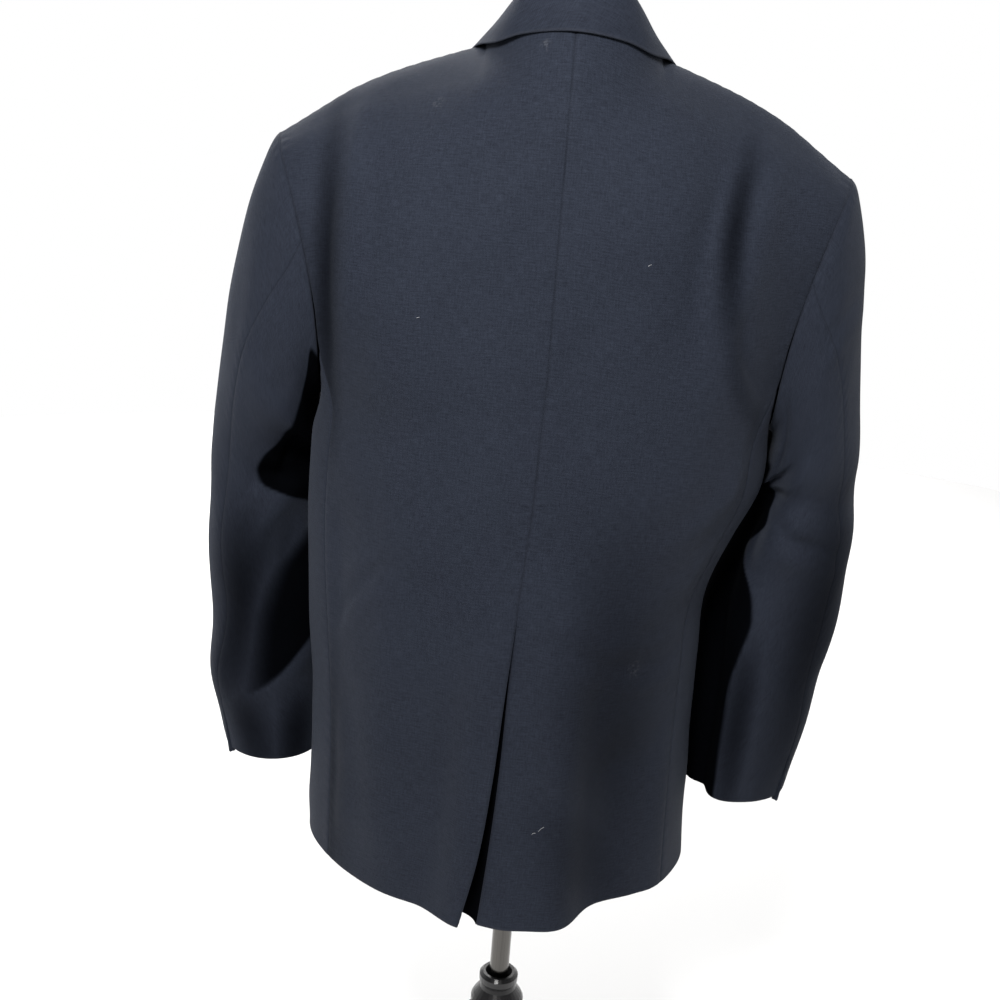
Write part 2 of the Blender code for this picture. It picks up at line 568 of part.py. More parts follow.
def put(name, mesh, colour, roughness, metallic=0.0):
    """An object for a mesh, in the part's collection, with a material of its own."""
    thing = bpy.data.objects.new(name, mesh)
    mesh.materials.append(material(name + "_finish", colour, roughness, metallic))
    bpy.data.collections["blazer"].objects.link(thing)
    return thing


def inset(grid, gap):
    """Draw the four edges of a grid back by gap."""
    moved = grid.copy()
    for edge, inner in ((np.s_[0, :], np.s_[1, :]), (np.s_[-1, :], np.s_[-2, :]),
                        (np.s_[:, 0], np.s_[:, 1]), (np.s_[:, -1], np.s_[:, -2])):
        way = moved[inner] - moved[edge]
        length = np.maximum(np.linalg.norm(way, axis=-1, keepdims=True), 1e-9)
        moved[edge] = moved[edge] + way / length * gap
    return moved


def cloth(name, grid, side=1, gap=SEAM):
    """A wall of cloth on a grid: half its thickness to each side, with its edges closed."""
    grid = inset(grid, gap)
    face = normals(grid)
    outer, inner = grid + face * WALL / 2, grid - face * WALL / 2
    points = np.concatenate([outer.reshape(-1, 3), inner.reshape(-1, 3)])
    points *= (side, 1, 1)
    points += (AXIS_X, AXIS_Y, HEM)
    rows, columns = grid.shape[:2]
    index = np.arange(rows * columns).reshape(rows, columns)
    a, b = index[:-1, :-1].ravel(), index[:-1, 1:].ravel()
    c, d = index[1:, 1:].ravel(), index[1:, :-1].ravel()
    skin = np.stack([a, b, c, d], axis=1)
    rim = np.concatenate([index[0, :], index[1:, -1], index[-1, -2::-1], index[-2:0:-1, 0]])
    after = np.roll(rim, -1)
    layer = rows * columns
    band = np.stack([after, rim, rim + layer, after + layer], axis=1)
    faces = np.concatenate([skin, skin[:, ::-1] + layer, band])
    mesh = bpy.data.meshes.new(name)
    mesh.from_pydata(points.tolist(), [], faces.tolist())
    volume = bmesh.new()
    volume.from_mesh(mesh)
    if volume.calc_volume(signed=True) < 0:
        bmesh.ops.reverse_faces(volume, faces=volume.faces)
    volume.to_mesh(mesh)
    volume.free()
    mesh.shade_smooth()
    mesh.set_sharp_from_angle(angle=math.radians(50))
    return put(name, mesh, CLOTH_COLOUR, 0.92)


def turned(name, profile, steps, place, colour, roughness, metallic=0.0):
    """A turned piece: a closed profile of (radius, height) points, outer side first."""
    mesh = bpy.data.meshes.new(name)
    count = len(profile)
    edges = [(i, i + 1) for i in range(count - 1)]
    if profile[0][0] > 0 and profile[-1][0] > 0:
        edges.append((count - 1, 0))
    mesh.from_pydata([(radius, 0.0, height) for radius, height in profile], edges, [])
    thing = put(name, mesh, colour, roughness, metallic)
    screw = thing.modifiers.new("turn", "SCREW")
    screw.steps = steps
    screw.render_steps = steps
    screw.use_merge_vertices = True
    screw.merge_threshold = 0.00002
    screw.use_smooth_shade = True
    thing.location = place
    return thing


def form_body():
    """The form: rings from its underside to the top of its neck, closed by flat ends."""
    segments = 28
    table = np.array(FORM)
    heights = np.array([0.055, 0.10, 0.16, 0.23, 0.30, 0.37, 0.44, 0.51, 0.57, 0.61, 0.64,
                        0.665, 0.682, 0.694, 0.704, 0.714, 0.726, 0.745, 0.785])
    width, back, front, mid = through(table[:, 0], table[:, 1:], heights).T
    angle = np.arange(segments) * 2 * math.pi / segments
    x = width[:, None] * bent(np.cos(angle), 0.92)[None, :]
    depth = np.where(np.sin(angle)[None, :] > 0, back[:, None], front[:, None])
    y = mid[:, None] + depth * bent(np.sin(angle), 0.92)[None, :]
    z = np.broadcast_to(heights[:, None], x.shape)
    points = np.stack([x + AXIS_X, y + AXIS_Y, z + HEM], axis=-1).reshape(-1, 3)
    index = np.arange(points.shape[0]).reshape(len(heights), segments)
    after = np.roll(index, -1, axis=1)
    wall = np.stack([index[:-1], after[:-1], after[1:], index[1:]], axis=-1).reshape(-1, 4)
    faces = wall.tolist() + [index[0, ::-1].tolist(), index[-1].tolist()]
    mesh = bpy.data.meshes.new("form")
    mesh.from_pydata(points.tolist(), [], faces)
    mesh.shade_smooth()
    mesh.set_sharp_from_angle(angle=math.radians(50))
    return put("form", mesh, FORM_COLOUR, 0.55)


def round_bar(name, start, end, radius, sides, colour, roughness, metallic=0.0):
    """A straight round bar between two points."""
    start, end = np.array(start), np.array(end)
    way = end - start
    length = float(np.linalg.norm(way))
    tilt = math.acos(way[2] / length)
    turn = math.atan2(way[1], way[0])
    mesh = bpy.data.meshes.new(name)
    bar = bmesh.new()
    bmesh.ops.create_cone(bar, cap_ends=True, segments=sides, radius1=radius, radius2=radius,
                          depth=length)
    bar.to_mesh(mesh)
    bar.free()
    mesh.shade_smooth()
    mesh.set_sharp_from_angle(angle=math.radians(50))
    thing = put(name, mesh, colour, roughness, metallic)
    thing.location = (start + end) / 2
    thing.rotation_euler = (0.0, tilt, turn)
    return thing


# ---- the pieces --------------------------------------------------------------------------
def build_body():
    for side, name in ((1, "left"), (-1, "right")):
        cloth("back_" + name, back_grid(side, 12, 26), side, SHOULDER_GAP)
        cloth("side_" + name, side_grid(side, 4, 16), side)
        cloth("front_" + name, front_grid(side, 9, 26), side, SHOULDER_GAP)
        cloth("lapel_" + name, lapel_grid(side, 5, 11), side)
    cloth("vent_underlap", underlap_grid(4, 10), -1)
    cloth("collar", collar_grid(24, 10))


def build_sleeves():
    hind = HIND_SEAM
    fore_outer = ((0.0, FORE_SEAM - 360), (1.0, FORE_SEAM - 360))
    fore_inner = ((0.0, FORE_SEAM), (1.0, FORE_SEAM))
    for side, name in ((1, "left"), (-1, "right")):
        cloth("topsleeve_" + name, sleeve_grid(side, fore_outer, hind, 9, 20), side, SHOULDER_GAP)
        cloth("undersleeve_" + name, sleeve_grid(side, hind, fore_inner, 8, 20), side, SHOULDER_GAP)


def build_buttons():
    front = front_grid(1, 48, 96).reshape(-1, 3)
    profile = [(share * BUTTON_RADIUS, height) for share, height in BUTTON_PROFILE]
    for name, height in BUTTON_HEIGHTS:
        nearest = np.argmin(np.hypot(front[:, 0], front[:, 2] - height))
        face_y = float(front[nearest, 1]) - WALL / 2 - BUTTON_SEAT
        thing = turned(name, profile, 16, (AXIS_X, AXIS_Y + face_y, HEM + height),
                       BUTTON_COLOUR, 0.35)
        thing.rotation_euler = (math.radians(90), 0.0, 0.0)


def hub_profile():
    """Section of the hub: a stepped collar round the pole's bore."""
    rim, widest, bore = HUB_RIM_RADIUS, HUB_RADIUS, POLE_RADIUS + RUNNING_GAP
    top, foot = HUB_TOP, HUB_FOOT
    return ((bore + 0.0035, top), (rim - 0.003, top), (rim, top - 0.003), (rim, top - 0.009),
            (rim - 0.002, top - 0.013), (rim - 0.001, top - 0.017),
            (widest - 0.002, top - 0.025), (widest, top - 0.029),
            (widest, foot + 0.004), (widest - 0.004, foot), (bore, foot), (bore, top - 0.006))


def build_stand():
    axis = np.array([AXIS_X, AXIS_Y, 0.0])
    turned("hub", hub_profile(), 32, tuple(axis), STAND_COLOUR, 0.3)
    form_foot = HEM + FORM_FOOT
    round_bar("pole", axis + (0, 0, POLE_FOOT), axis + (0, 0, form_foot - POLE_SINK),
              POLE_RADIUS, 28, STEEL_COLOUR, 0.28, 1.0)
    plate = [(radius, -depth) for radius, depth in PLATE_PROFILE]
    turned("socket_plate", plate, 32, tuple(axis + (0, 0, form_foot)), STAND_COLOUR, 0.4)
    for number in range(3):
        turn = math.radians(270 + 120 * number)
        way = np.array([math.cos(turn), math.sin(turn), 0.0])
        inner = axis + way * (HUB_RADIUS + LEG_RADIUS * 0.9) + (0, 0, HUB_TOP - LEG_TOP)
        outer = axis + way * LEG_SPREAD + (0, 0, LEG_FOOT)
        round_bar(f"leg_{number + 1}", inner, outer, LEG_RADIUS, 14, STAND_COLOUR, 0.4)
        centre = axis + way * (LEG_SPREAD + FOOT_OFFSET)
        turned(f"foot_{number + 1}", FOOT_PROFILE, 16, tuple(centre), RUBBER_COLOUR, 0.8)


def main():
    for thing in list(bpy.data.objects):
        bpy.data.objects.remove(thing, do_unlink=True)
    bpy.context.scene.collection.children.link(bpy.data.collections.new("blazer"))
    build_body()
    build_sleeves()
    build_buttons()
    form_body()
    build_stand()


main()
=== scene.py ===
"""The finished look of a wool blazer on a limbless dress form with a tripod stand.

Each piece of cloth is a thin shell worked out from the same cut as its solid, with its finer
creases, its seams turned in and its edges rounded. +Z is up, the wearer would look along -Y and
+X is the wearer's left. Heights in the tables of the cut are measured from the hem.
"""
import math
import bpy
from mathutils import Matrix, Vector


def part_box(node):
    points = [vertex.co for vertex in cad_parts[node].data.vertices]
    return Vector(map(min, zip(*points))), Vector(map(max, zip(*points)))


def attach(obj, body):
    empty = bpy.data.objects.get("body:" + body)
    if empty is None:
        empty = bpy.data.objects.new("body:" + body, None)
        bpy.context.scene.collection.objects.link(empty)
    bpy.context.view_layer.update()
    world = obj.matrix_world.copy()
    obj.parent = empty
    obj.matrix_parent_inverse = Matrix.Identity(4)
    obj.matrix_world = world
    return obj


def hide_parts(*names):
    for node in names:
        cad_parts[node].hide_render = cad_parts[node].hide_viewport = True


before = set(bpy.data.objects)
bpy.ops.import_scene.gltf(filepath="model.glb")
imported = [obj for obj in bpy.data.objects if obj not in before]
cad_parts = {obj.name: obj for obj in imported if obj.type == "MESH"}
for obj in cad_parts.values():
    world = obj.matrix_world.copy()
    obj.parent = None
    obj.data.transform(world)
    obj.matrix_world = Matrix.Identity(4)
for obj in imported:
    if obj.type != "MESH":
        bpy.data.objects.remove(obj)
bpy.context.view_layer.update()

import bpy
import numpy as np
from mathutils import Matrix, Vector

bl_info = {
    "name": "Blazer on a dress form",
    "version": (1, 0, 0),
    "blender": (4, 5, 0),
    "location": "3D View > Sidebar > Blazer",
    "description": "Builds a wool blazer on a dress form from its cut, with its finishes",
    "category": "Object",
}

# ---- driving dimensions, in metres -------------------------------------------------------
FORM_FOOT = 0.055                       # underside of the form above the hem
POLE_LOW, POLE_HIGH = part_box("pole")
AXIS_X = (POLE_LOW.x + POLE_HIGH.x) / 2
AXIS_Y = (POLE_LOW.y + POLE_HIGH.y) / 2
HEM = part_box("form")[0].z - FORM_FOOT   # hem above the floor
WALL = 0.0018                           # cloth with its lining
PITCH, COLLAR_PITCH = 0.0028, 0.0018    # spacing of the cloth's points
VENT_TOP = 0.297
VENT_LAP, VENT_KICK, VENT_SINK = 0.0036, 0.0060, 0.0012    # left flap out, its foot, right in
UNDERLAP = {"width": 0.034, "depth": 0.022, "turn": 0.001}
FRONT_LAP = 0.0022                      # left front out and right front in, where they cross
HEM_CURVE = 0.034                       # how far the fronts' lower corners are rounded up
LAPEL_LIFT, LAPEL_ROLL, LAPEL_TOP, NOTCH_DROP = 0.0042, 0.0040, 0.704, 0.10
LAPEL_START = {1: 0.340, -1: 0.420}     # height of each lapel's foot
COLLAR_FOLD = {"inner": 0.0035, "outer": 0.0045, "drop": 0.003, "belly": 0.0022}
JUNCTION = 0.488                        # height of the armhole's foot
ARMHOLE_BACK, ARMHOLE_FRONT = 126.0, 234.0    # degrees of the armhole over the side body
FRONT_POWER = 2.15                      # the torso's section in front, 2 being an ellipse
SIDE_SEAM_BACK, SIDE_SEAM_FRONT = 62.0, 118.0    # degrees from centre back
FORE_SEAM = 236.0                       # degrees of the sleeve's ring
SLEEVE_LENGTH = 0.62
CREASE_LIFT = 1.8                       # the body's creases, as a multiple of their tables
SLEEVE_DEGREE = 0.0012                  # cloth in one degree of the sleeve's ring
CUFF_CORNER = {"reach": 0.045, "lift": 0.0022, "drop": 0.0055}    # reach: share of the width
PRESS_AT, PRESS_REACH = 182.0, 30.0     # degrees of the sleeve's ring that face the body
ROLL_SPREAD, ROLL_EASE = 0.22, 0.3      # how far the lapel's roll reaches, how it flattens upwards
BUTTON_RADIUS = 0.0105
BUTTON_HOLE_RING, BUTTON_HOLE = 0.0032, 0.0011    # holes' centres from the middle, and radius
THREAD = {"radius": 0.00034, "arch": 0.0009, "sunk": 0.0012}
BUTTONHOLE = {"aside": 0.0035, "half": 0.0125, "gap": 0.0011, "off": 0.0001}
FORM_GAP, FORM_ROUND, FORM_POWER = 0.0012, 0.005, 0.92    # inside its solid, end radius, section
LEG_SPREAD, LEG_FOOT = 0.285, 0.030     # the lower end of a leg: from the pole, above the floor
LEG_INNER, LEG_TOP = 0.0339, 0.284      # and its upper end
BOOT = ((0.0001, 0.0), (0.0089, 0.0), (0.0103, 0.03), (0.0106, 0.10), (0.0106, 0.84),
        (0.0100, 0.93), (0.0080, 0.98), (0.0001, 1.0))    # radius, share of its length
BOOT_REACH = (0.032, 0.014)             # up the leg from its end, and past it
SOCKET = ((0.0001, 0.0), (0.0100, 0.0), (0.0116, 0.08), (0.0120, 0.20), (0.0120, 0.78),
          (0.0114, 0.90), (0.0096, 1.0), (0.0001, 1.0))   # where a leg meets the hub
SOCKET_REACH = (0.022, 0.016)
UNEVEN, CALM = 0.0007, 0.0003           # unevenness of worn cloth, and of pressed small pieces
PIECES = {
    # rough length and width, which give the number of its points, seed of its unevenness
    "back": (0.82, 0.23, 11),
    "underlap": (0.30, 0.04, 14),
    "side": (0.47, 0.13, 21),
    "front": (0.80, 0.20, 31),
    "lapel": (0.40, 0.09, 35),
    "collar": (0.40, 0.085, 41),
    "topsleeve": (0.60, 0.24, 51),
    "undersleeve": (0.60, 0.20, 55),
}
SIDES = ((1, "left"), (-1, "right"))

# ---- the cut -----------------------------------------------------------------------------
TORSO = (
    # height, left, right, back, front, mid, back_power
    (-0.01, 0.198, 0.169, 0.160, 0.110, -0.026, 1.62),
    (0.06, 0.198, 0.165, 0.157, 0.112, -0.024, 1.66),
    (0.15, 0.198, 0.161, 0.151, 0.114, -0.018, 1.72),
    (0.22, 0.201, 0.159, 0.147, 0.115, -0.013, 1.80),
    (0.29, 0.205, 0.160, 0.142, 0.117, -0.009, 1.88),
    (0.33, 0.206, 0.174, 0.138, 0.118, -0.007, 1.94),
    (0.38, 0.204, 0.194, 0.136, 0.120, -0.006, 2.02),
    (0.43, 0.200, 0.198, 0.136, 0.122, -0.006, 2.10),
    (0.50, 0.198, 0.197, 0.138, 0.123, -0.006, 2.15),
)
BACK_EDGE = (
    # height, left half, right half
    (-0.010, 0.0415, -0.0232),
    (0.030, 0.0345, -0.0205),
    (0.060, 0.0280, -0.0178),
    (0.140, 0.0195, -0.0132),
    (0.230, 0.0138, -0.0108),
    (0.285, 0.0100, -0.0096),
    (0.297, 0.0090, -0.0090),
    (0.387, 0.0030, -0.0030),
    (0.500, 0.0010, -0.0010),
)
FRONT_EDGE = (
    # height, past centre
    (0.000, 0.058),
    (0.030, 0.030),
    (0.080, 0.004),
    (0.140, -0.014),
    (0.200, -0.020),
    (0.335, -0.022),
    (0.420, 0.004),
    (0.470, 0.015),
)
BACK_ROWS = (
    # beta, centre y, centre z, inner (x, y, z), outer (x, y, z)
    (126, 0.130, 0.488, (0.068, 0.128, 0.488), (0.135, 0.109, 0.486)),
    (100, 0.131, 0.550, (0.070, 0.129, 0.550), (0.138, 0.109, 0.545)),
    (68, 0.131, 0.610, (0.073, 0.125, 0.610), (0.146, 0.099, 0.602)),
    (43, 0.121, 0.668, (0.074, 0.108, 0.664), (0.150, 0.076, 0.647)),
    (22, 0.102, 0.725, (0.072, 0.069, 0.710), (0.153, 0.040, 0.686)),
)
FRONT_ROWS = (
    # beta, roll line (x, y, z), inner (x, y, z), outer (x, y, z)
    (126, (0.018, -0.130, 0.488), (0.071, -0.127, 0.487), (0.136, -0.107, 0.484)),
    (100, (0.030, -0.131, 0.550), (0.080, -0.127, 0.544), (0.140, -0.107, 0.537)),
    (68, (0.043, -0.117, 0.605), (0.092, -0.111, 0.600), (0.150, -0.092, 0.596)),
    (43, (0.054, -0.088, 0.662), (0.100, -0.082, 0.654), (0.153, -0.069, 0.641)),
    (22, (0.063, -0.048, 0.706), (0.105, -0.043, 0.694), (0.156, -0.037, 0.678)),
)
NECK_POINT = (0.070, 0.006, 0.737)
NECK_BACK = (0.078, 0.768)
FORM_SHOULDER = (0.166, 0.001, 0.6995)
ARMHOLE = {"x": 0.215, "lean": 0.023, "bow": 0.016, "y": -0.003, "depth": 0.070,
           "z": 0.545, "height": 0.108}
SLEEVE_LEFT = (
    # out_x, out_z, in_x, in_z, mid_y, half_y, bow
    (0.2388, 0.6535, 0.1958, 0.437, -0.003, 0.070, 0.0167),
    (0.2480, 0.6370, 0.2050, 0.429, -0.005, 0.072, 0.0130),
    (0.2630, 0.5930, 0.2070, 0.415, -0.010, 0.073, 0.0060),
    (0.2800, 0.5200, 0.2060, 0.398, -0.020, 0.073, 0.0000),
    (0.2920, 0.4350, 0.2040, 0.375, -0.032, 0.070, 0.0000),
    (0.3025, 0.3450, 0.2025, 0.333, -0.040, 0.066, 0.0000),
    (0.3070, 0.2500, 0.2000, 0.250, -0.048, 0.061, 0.0000),
    (0.3050, 0.1550, 0.1980, 0.158, -0.056, 0.055, 0.0000),
    (0.2880, 0.0650, 0.1970, 0.065, -0.060, 0.050, 0.0000),
)
SLEEVE_RIGHT = (
    # out_x, out_z, in_x, in_z, mid_y, half_y, bow
    (0.2388, 0.6535, 0.1958, 0.437, -0.003, 0.070, 0.0167),
    (0.2460, 0.6400, 0.2040, 0.429, -0.005, 0.072, 0.0130),
    (0.2575, 0.5960, 0.2060, 0.415, -0.009, 0.073, 0.0060),
    (0.2650, 0.5350, 0.2050, 0.398, -0.018, 0.073, 0.0000),
    (0.2765, 0.4600, 0.2020, 0.378, -0.026, 0.070, 0.0000),
    (0.2890, 0.3650, 0.1900, 0.344, -0.032, 0.066, 0.0000),
    (0.2900, 0.2750, 0.1630, 0.264, -0.040, 0.061, 0.0000),
    (0.2850, 0.1800, 0.1595, 0.172, -0.048, 0.056, 0.0000),
    (0.2650, 0.0640, 0.1630, 0.064, -0.054, 0.050, 0.0000),
)
# Seams of the sleeve: part of its length, degrees
HIND_SEAM = ((0.0, 75.0), (0.125, 80.0), (0.25, 78.0), (0.42, 68.0), (0.6, 54.0), (0.8, 44.0),
             (1.0, 38.0))
FORE_SEAM_FRONT = ((0.0, FORE_SEAM - 360), (1.0, FORE_SEAM - 360))
FORE_SEAM_BACK = ((0.0, FORE_SEAM), (1.0, FORE_SEAM))
# How far each sleeve is pressed towards the body, and over which part of its length
PRESS = {1: (0.016, 0.05, 0.22, 0.56, 0.80), -1: (0.017, 0.05, 0.22, 0.50, 0.66)}
LAPEL = ((0.0, 0.02), (0.45, 0.37), (0.8, 0.53), (1.0, 0.57))    # part of length, of the front
COLLAR_ROWS = (
    # part, seam (x, y, z), fold (x, y, z), outer edge (x, y, z)
    (0.00, (0.0000, 0.0735, 0.7665), (0.0000, 0.0735, 0.7985), (0.000, 0.0915, 0.7505)),
    (0.22, (0.0305, 0.0660, 0.7640), (0.0290, 0.0670, 0.7905), (0.039, 0.0775, 0.7460)),
    (0.42, (0.0525, 0.0435, 0.7540), (0.0470, 0.0430, 0.7735), (0.062, 0.0560, 0.7380)),
    (0.60, (0.0650, 0.0100, 0.7380), (0.0550, 0.0110, 0.7560), (0.080, 0.0120, 0.7340)),
    (0.80, (0.0635, -0.0240, 0.7235), (0.0575, -0.0260, 0.7390), (0.093, -0.0310, 0.7170)),
    (1.00, (0.0575, -0.0600, 0.6975), (0.0600, -0.0640, 0.7080), (0.106, -0.0700, 0.6790)),
)
FORM = (
    # height, half width, back, front, mid
    (0.055, 0.108, 0.070, 0.076, -0.006),
    (0.110, 0.122, 0.080, 0.084, -0.006),
    (0.180, 0.130, 0.088, 0.088, -0.006),
    (0.260, 0.128, 0.088, 0.090, -0.006),
    (0.330, 0.130, 0.088, 0.092, -0.006),
    (0.420, 0.143, 0.094, 0.100, -0.004),
    (0.510, 0.156, 0.102, 0.106, -0.002),
    (0.580, 0.161, 0.104, 0.100, 0.000),
    (0.635, 0.163, 0.094, 0.082, 0.000),
    (0.670, 0.160, 0.078, 0.060, 0.002),
    (0.688, 0.150, 0.062, 0.046, 0.004),
    (0.701, 0.124, 0.056, 0.044, 0.006),
    (0.714, 0.088, 0.052, 0.046, 0.006),
    (0.726, 0.058, 0.046, 0.048, 0.008),
    (0.745, 0.047, 0.038, 0.048, 0.006),
    (0.785, 0.044, 0.038, 0.046, 0.006),
)
LOW_HEIGHTS = (-0.006, 0.06, 0.14, 0.22, 0.29, 0.34, 0.39, 0.435)
FRONT_TOP = NECK_POINT[2] + 0.02
THIRDS = (0.0, 1 / 3, 2 / 3, 1.0)

# ---- folds: the solids' own, then the finer creases --------------------------------------
BACK_FOLDS = (
    # side, x0, z0, x1, z1, width, lift
    (1, 0.166, 0.68, 0.176, 0.47, 0.013, 0.0050),
    (1, 0.190, 0.60, 0.187, 0.48, 0.012, -0.0050),
    (1, 0.128, 0.52, 0.120, 0.06, 0.022, 0.0045),
    (1, 0.085, 0.30, 0.078, 0.00, 0.018, -0.0050),
    (1, 0.160, 0.33, 0.185, 0.20, 0.016, -0.0050),
    (-1, 0.168, 0.68, 0.142, 0.56, 0.013, 0.0045),
    (-1, 0.142, 0.56, 0.170, 0.40, 0.015, 0.0040),
    (-1, 0.120, 0.64, 0.110, 0.48, 0.020, -0.0040),
    (-1, 0.036, 0.28, 0.048, 0.00, 0.016, 0.0090),
    (-1, 0.095, 0.13, 0.093, 0.00, 0.024, -0.0170),
    (-1, 0.140, 0.33, 0.060, 0.25, 0.016, 0.0035),
)
FRONT_FOLDS = (
    # side, x0, z0, x1, z1, width, lift
    (1, 0.166, 0.65, 0.160, 0.50, 0.014, 0.0045),
    (1, 0.000, 0.33, 0.110, 0.37, 0.015, 0.0035),
    (1, 0.090, 0.30, 0.105, 0.00, 0.022, 0.0060),
    (-1, 0.166, 0.65, 0.156, 0.50, 0.014, 0.0045),
    (-1, 0.010, 0.33, 0.105, 0.36, 0.015, 0.0035),
    (-1, 0.085, 0.28, 0.095, 0.00, 0.022, 0.0060),
)
SLEEVE_FOLDS = (
    # side, angle0, part0, angle1, part1, width in degrees, width in length, lift
    (1, 150, 0.52, 95, 0.58, 34, 0.055, -0.020),
    (1, 175, 0.66, 75, 0.80, 40, 0.050, -0.018),
    (1, 170, 0.78, 60, 0.88, 40, 0.030, 0.007),
    (1, 120, 0.40, 60, 0.56, 30, 0.040, 0.005),
    (-1, 160, 0.48, 150, 0.98, 24, 0.030, -0.012),
    (-1, 122, 0.50, 112, 0.98, 16, 0.030, 0.006),
    (-1, 130, 0.56, 60, 0.60, 30, 0.022, -0.008),
    (-1, 118, 0.72, 40, 0.86, 26, 0.025, -0.006),
)
BACK_CREASES = (
    # side, start (x, z), middle (x, z), end (x, z), width, lift
    (1, (0.167, 0.690), (0.158, 0.600), (0.166, 0.450), 0.0065, 0.0020),
    (1, (0.180, 0.640), (0.184, 0.560), (0.180, 0.480), 0.0060, -0.0018),
    (1, (0.112, 0.540), (0.098, 0.440), (0.094, 0.270), 0.0100, 0.0016),
    (1, (0.140, 0.440), (0.132, 0.340), (0.140, 0.220), 0.0090, -0.0013),
    (1, (0.112, 0.326), (0.140, 0.296), (0.172, 0.238), 0.0060, -0.0022),
    (1, (0.118, 0.300), (0.148, 0.268), (0.176, 0.214), 0.0070, 0.0014),
    (1, (0.006, 0.690), (0.026, 0.640), (0.084, 0.560), 0.0150, 0.0018),
    (1, (0.050, 0.700), (0.070, 0.650), (0.120, 0.600), 0.0140, -0.0014),
    (1, (0.030, 0.280), (0.036, 0.180), (0.050, 0.020), 0.0090, 0.0016),
    (1, (0.062, 0.330), (0.060, 0.200), (0.070, 0.030), 0.0080, -0.0015),
    (1, (0.158, 0.180), (0.152, 0.100), (0.156, 0.010), 0.0080, 0.0018),
    (-1, (0.166, 0.690), (0.136, 0.646), (0.129, 0.590), 0.0070, 0.0026),
    (-1, (0.129, 0.590), (0.134, 0.530), (0.172, 0.450), 0.0075, 0.0024),
    (-1, (0.150, 0.660), (0.118, 0.620), (0.112, 0.540), 0.0090, -0.0020),
    (-1, (0.148, 0.560), (0.150, 0.520), (0.180, 0.470), 0.0055, -0.0018),
    (-1, (0.034, 0.540), (0.020, 0.512), (0.004, 0.478), 0.0085, -0.0014),
    (-1, (0.034, 0.730), (0.016, 0.712), (0.002, 0.690), 0.0140, 0.0014),
    (-1, (0.016, 0.280), (0.022, 0.190), (0.043, 0.090), 0.0060, 0.0026),
    (-1, (0.060, 0.240), (0.062, 0.150), (0.070, 0.020), 0.0080, -0.0018),
    (-1, (0.018, 0.292), (0.080, 0.264), (0.150, 0.262), 0.0062, 0.0013),
    (-1, (0.022, 0.272), (0.084, 0.242), (0.150, 0.240), 0.0058, -0.0012),
    (-1, (0.034, 0.252), (0.090, 0.220), (0.150, 0.222), 0.0062, 0.0010),
    (-1, (0.176, 0.430), (0.150, 0.380), (0.090, 0.340), 0.0090, 0.0020),
    (-1, (0.168, 0.390), (0.140, 0.340), (0.100, 0.310), 0.0080, -0.0016),
)
FRONT_CREASES = (
    # side, start (x, z), middle (x, z), end (x, z), width, lift
    (1, (0.168, 0.660), (0.158, 0.580), (0.160, 0.500), 0.0070, 0.0022),
    (1, (0.150, 0.640), (0.142, 0.570), (0.150, 0.500), 0.0070, -0.0018),
    (1, (0.004, 0.322), (0.060, 0.334), (0.130, 0.376), 0.0070, 0.0020),
    (1, (0.002, 0.312), (0.060, 0.306), (0.130, 0.282), 0.0070, -0.0016),
    (1, (0.002, 0.206), (0.050, 0.196), (0.110, 0.160), 0.0080, 0.0014),
    (1, (0.130, 0.420), (0.120, 0.330), (0.126, 0.200), 0.0090, -0.0015),
    (-1, (0.166, 0.660), (0.154, 0.580), (0.156, 0.500), 0.0070, 0.0024),
    (-1, (0.146, 0.640), (0.138, 0.570), (0.146, 0.500), 0.0075, -0.0018),
    (-1, (0.020, 0.326), (0.070, 0.340), (0.130, 0.386), 0.0070, 0.0018),
    (-1, (0.020, 0.310), (0.070, 0.302), (0.130, 0.270), 0.0070, -0.0016),
    (-1, (0.020, 0.204), (0.060, 0.190), (0.110, 0.150), 0.0080, 0.0014),
    (-1, (0.128, 0.400), (0.116, 0.310), (0.122, 0.180), 0.0090, -0.0014),
)
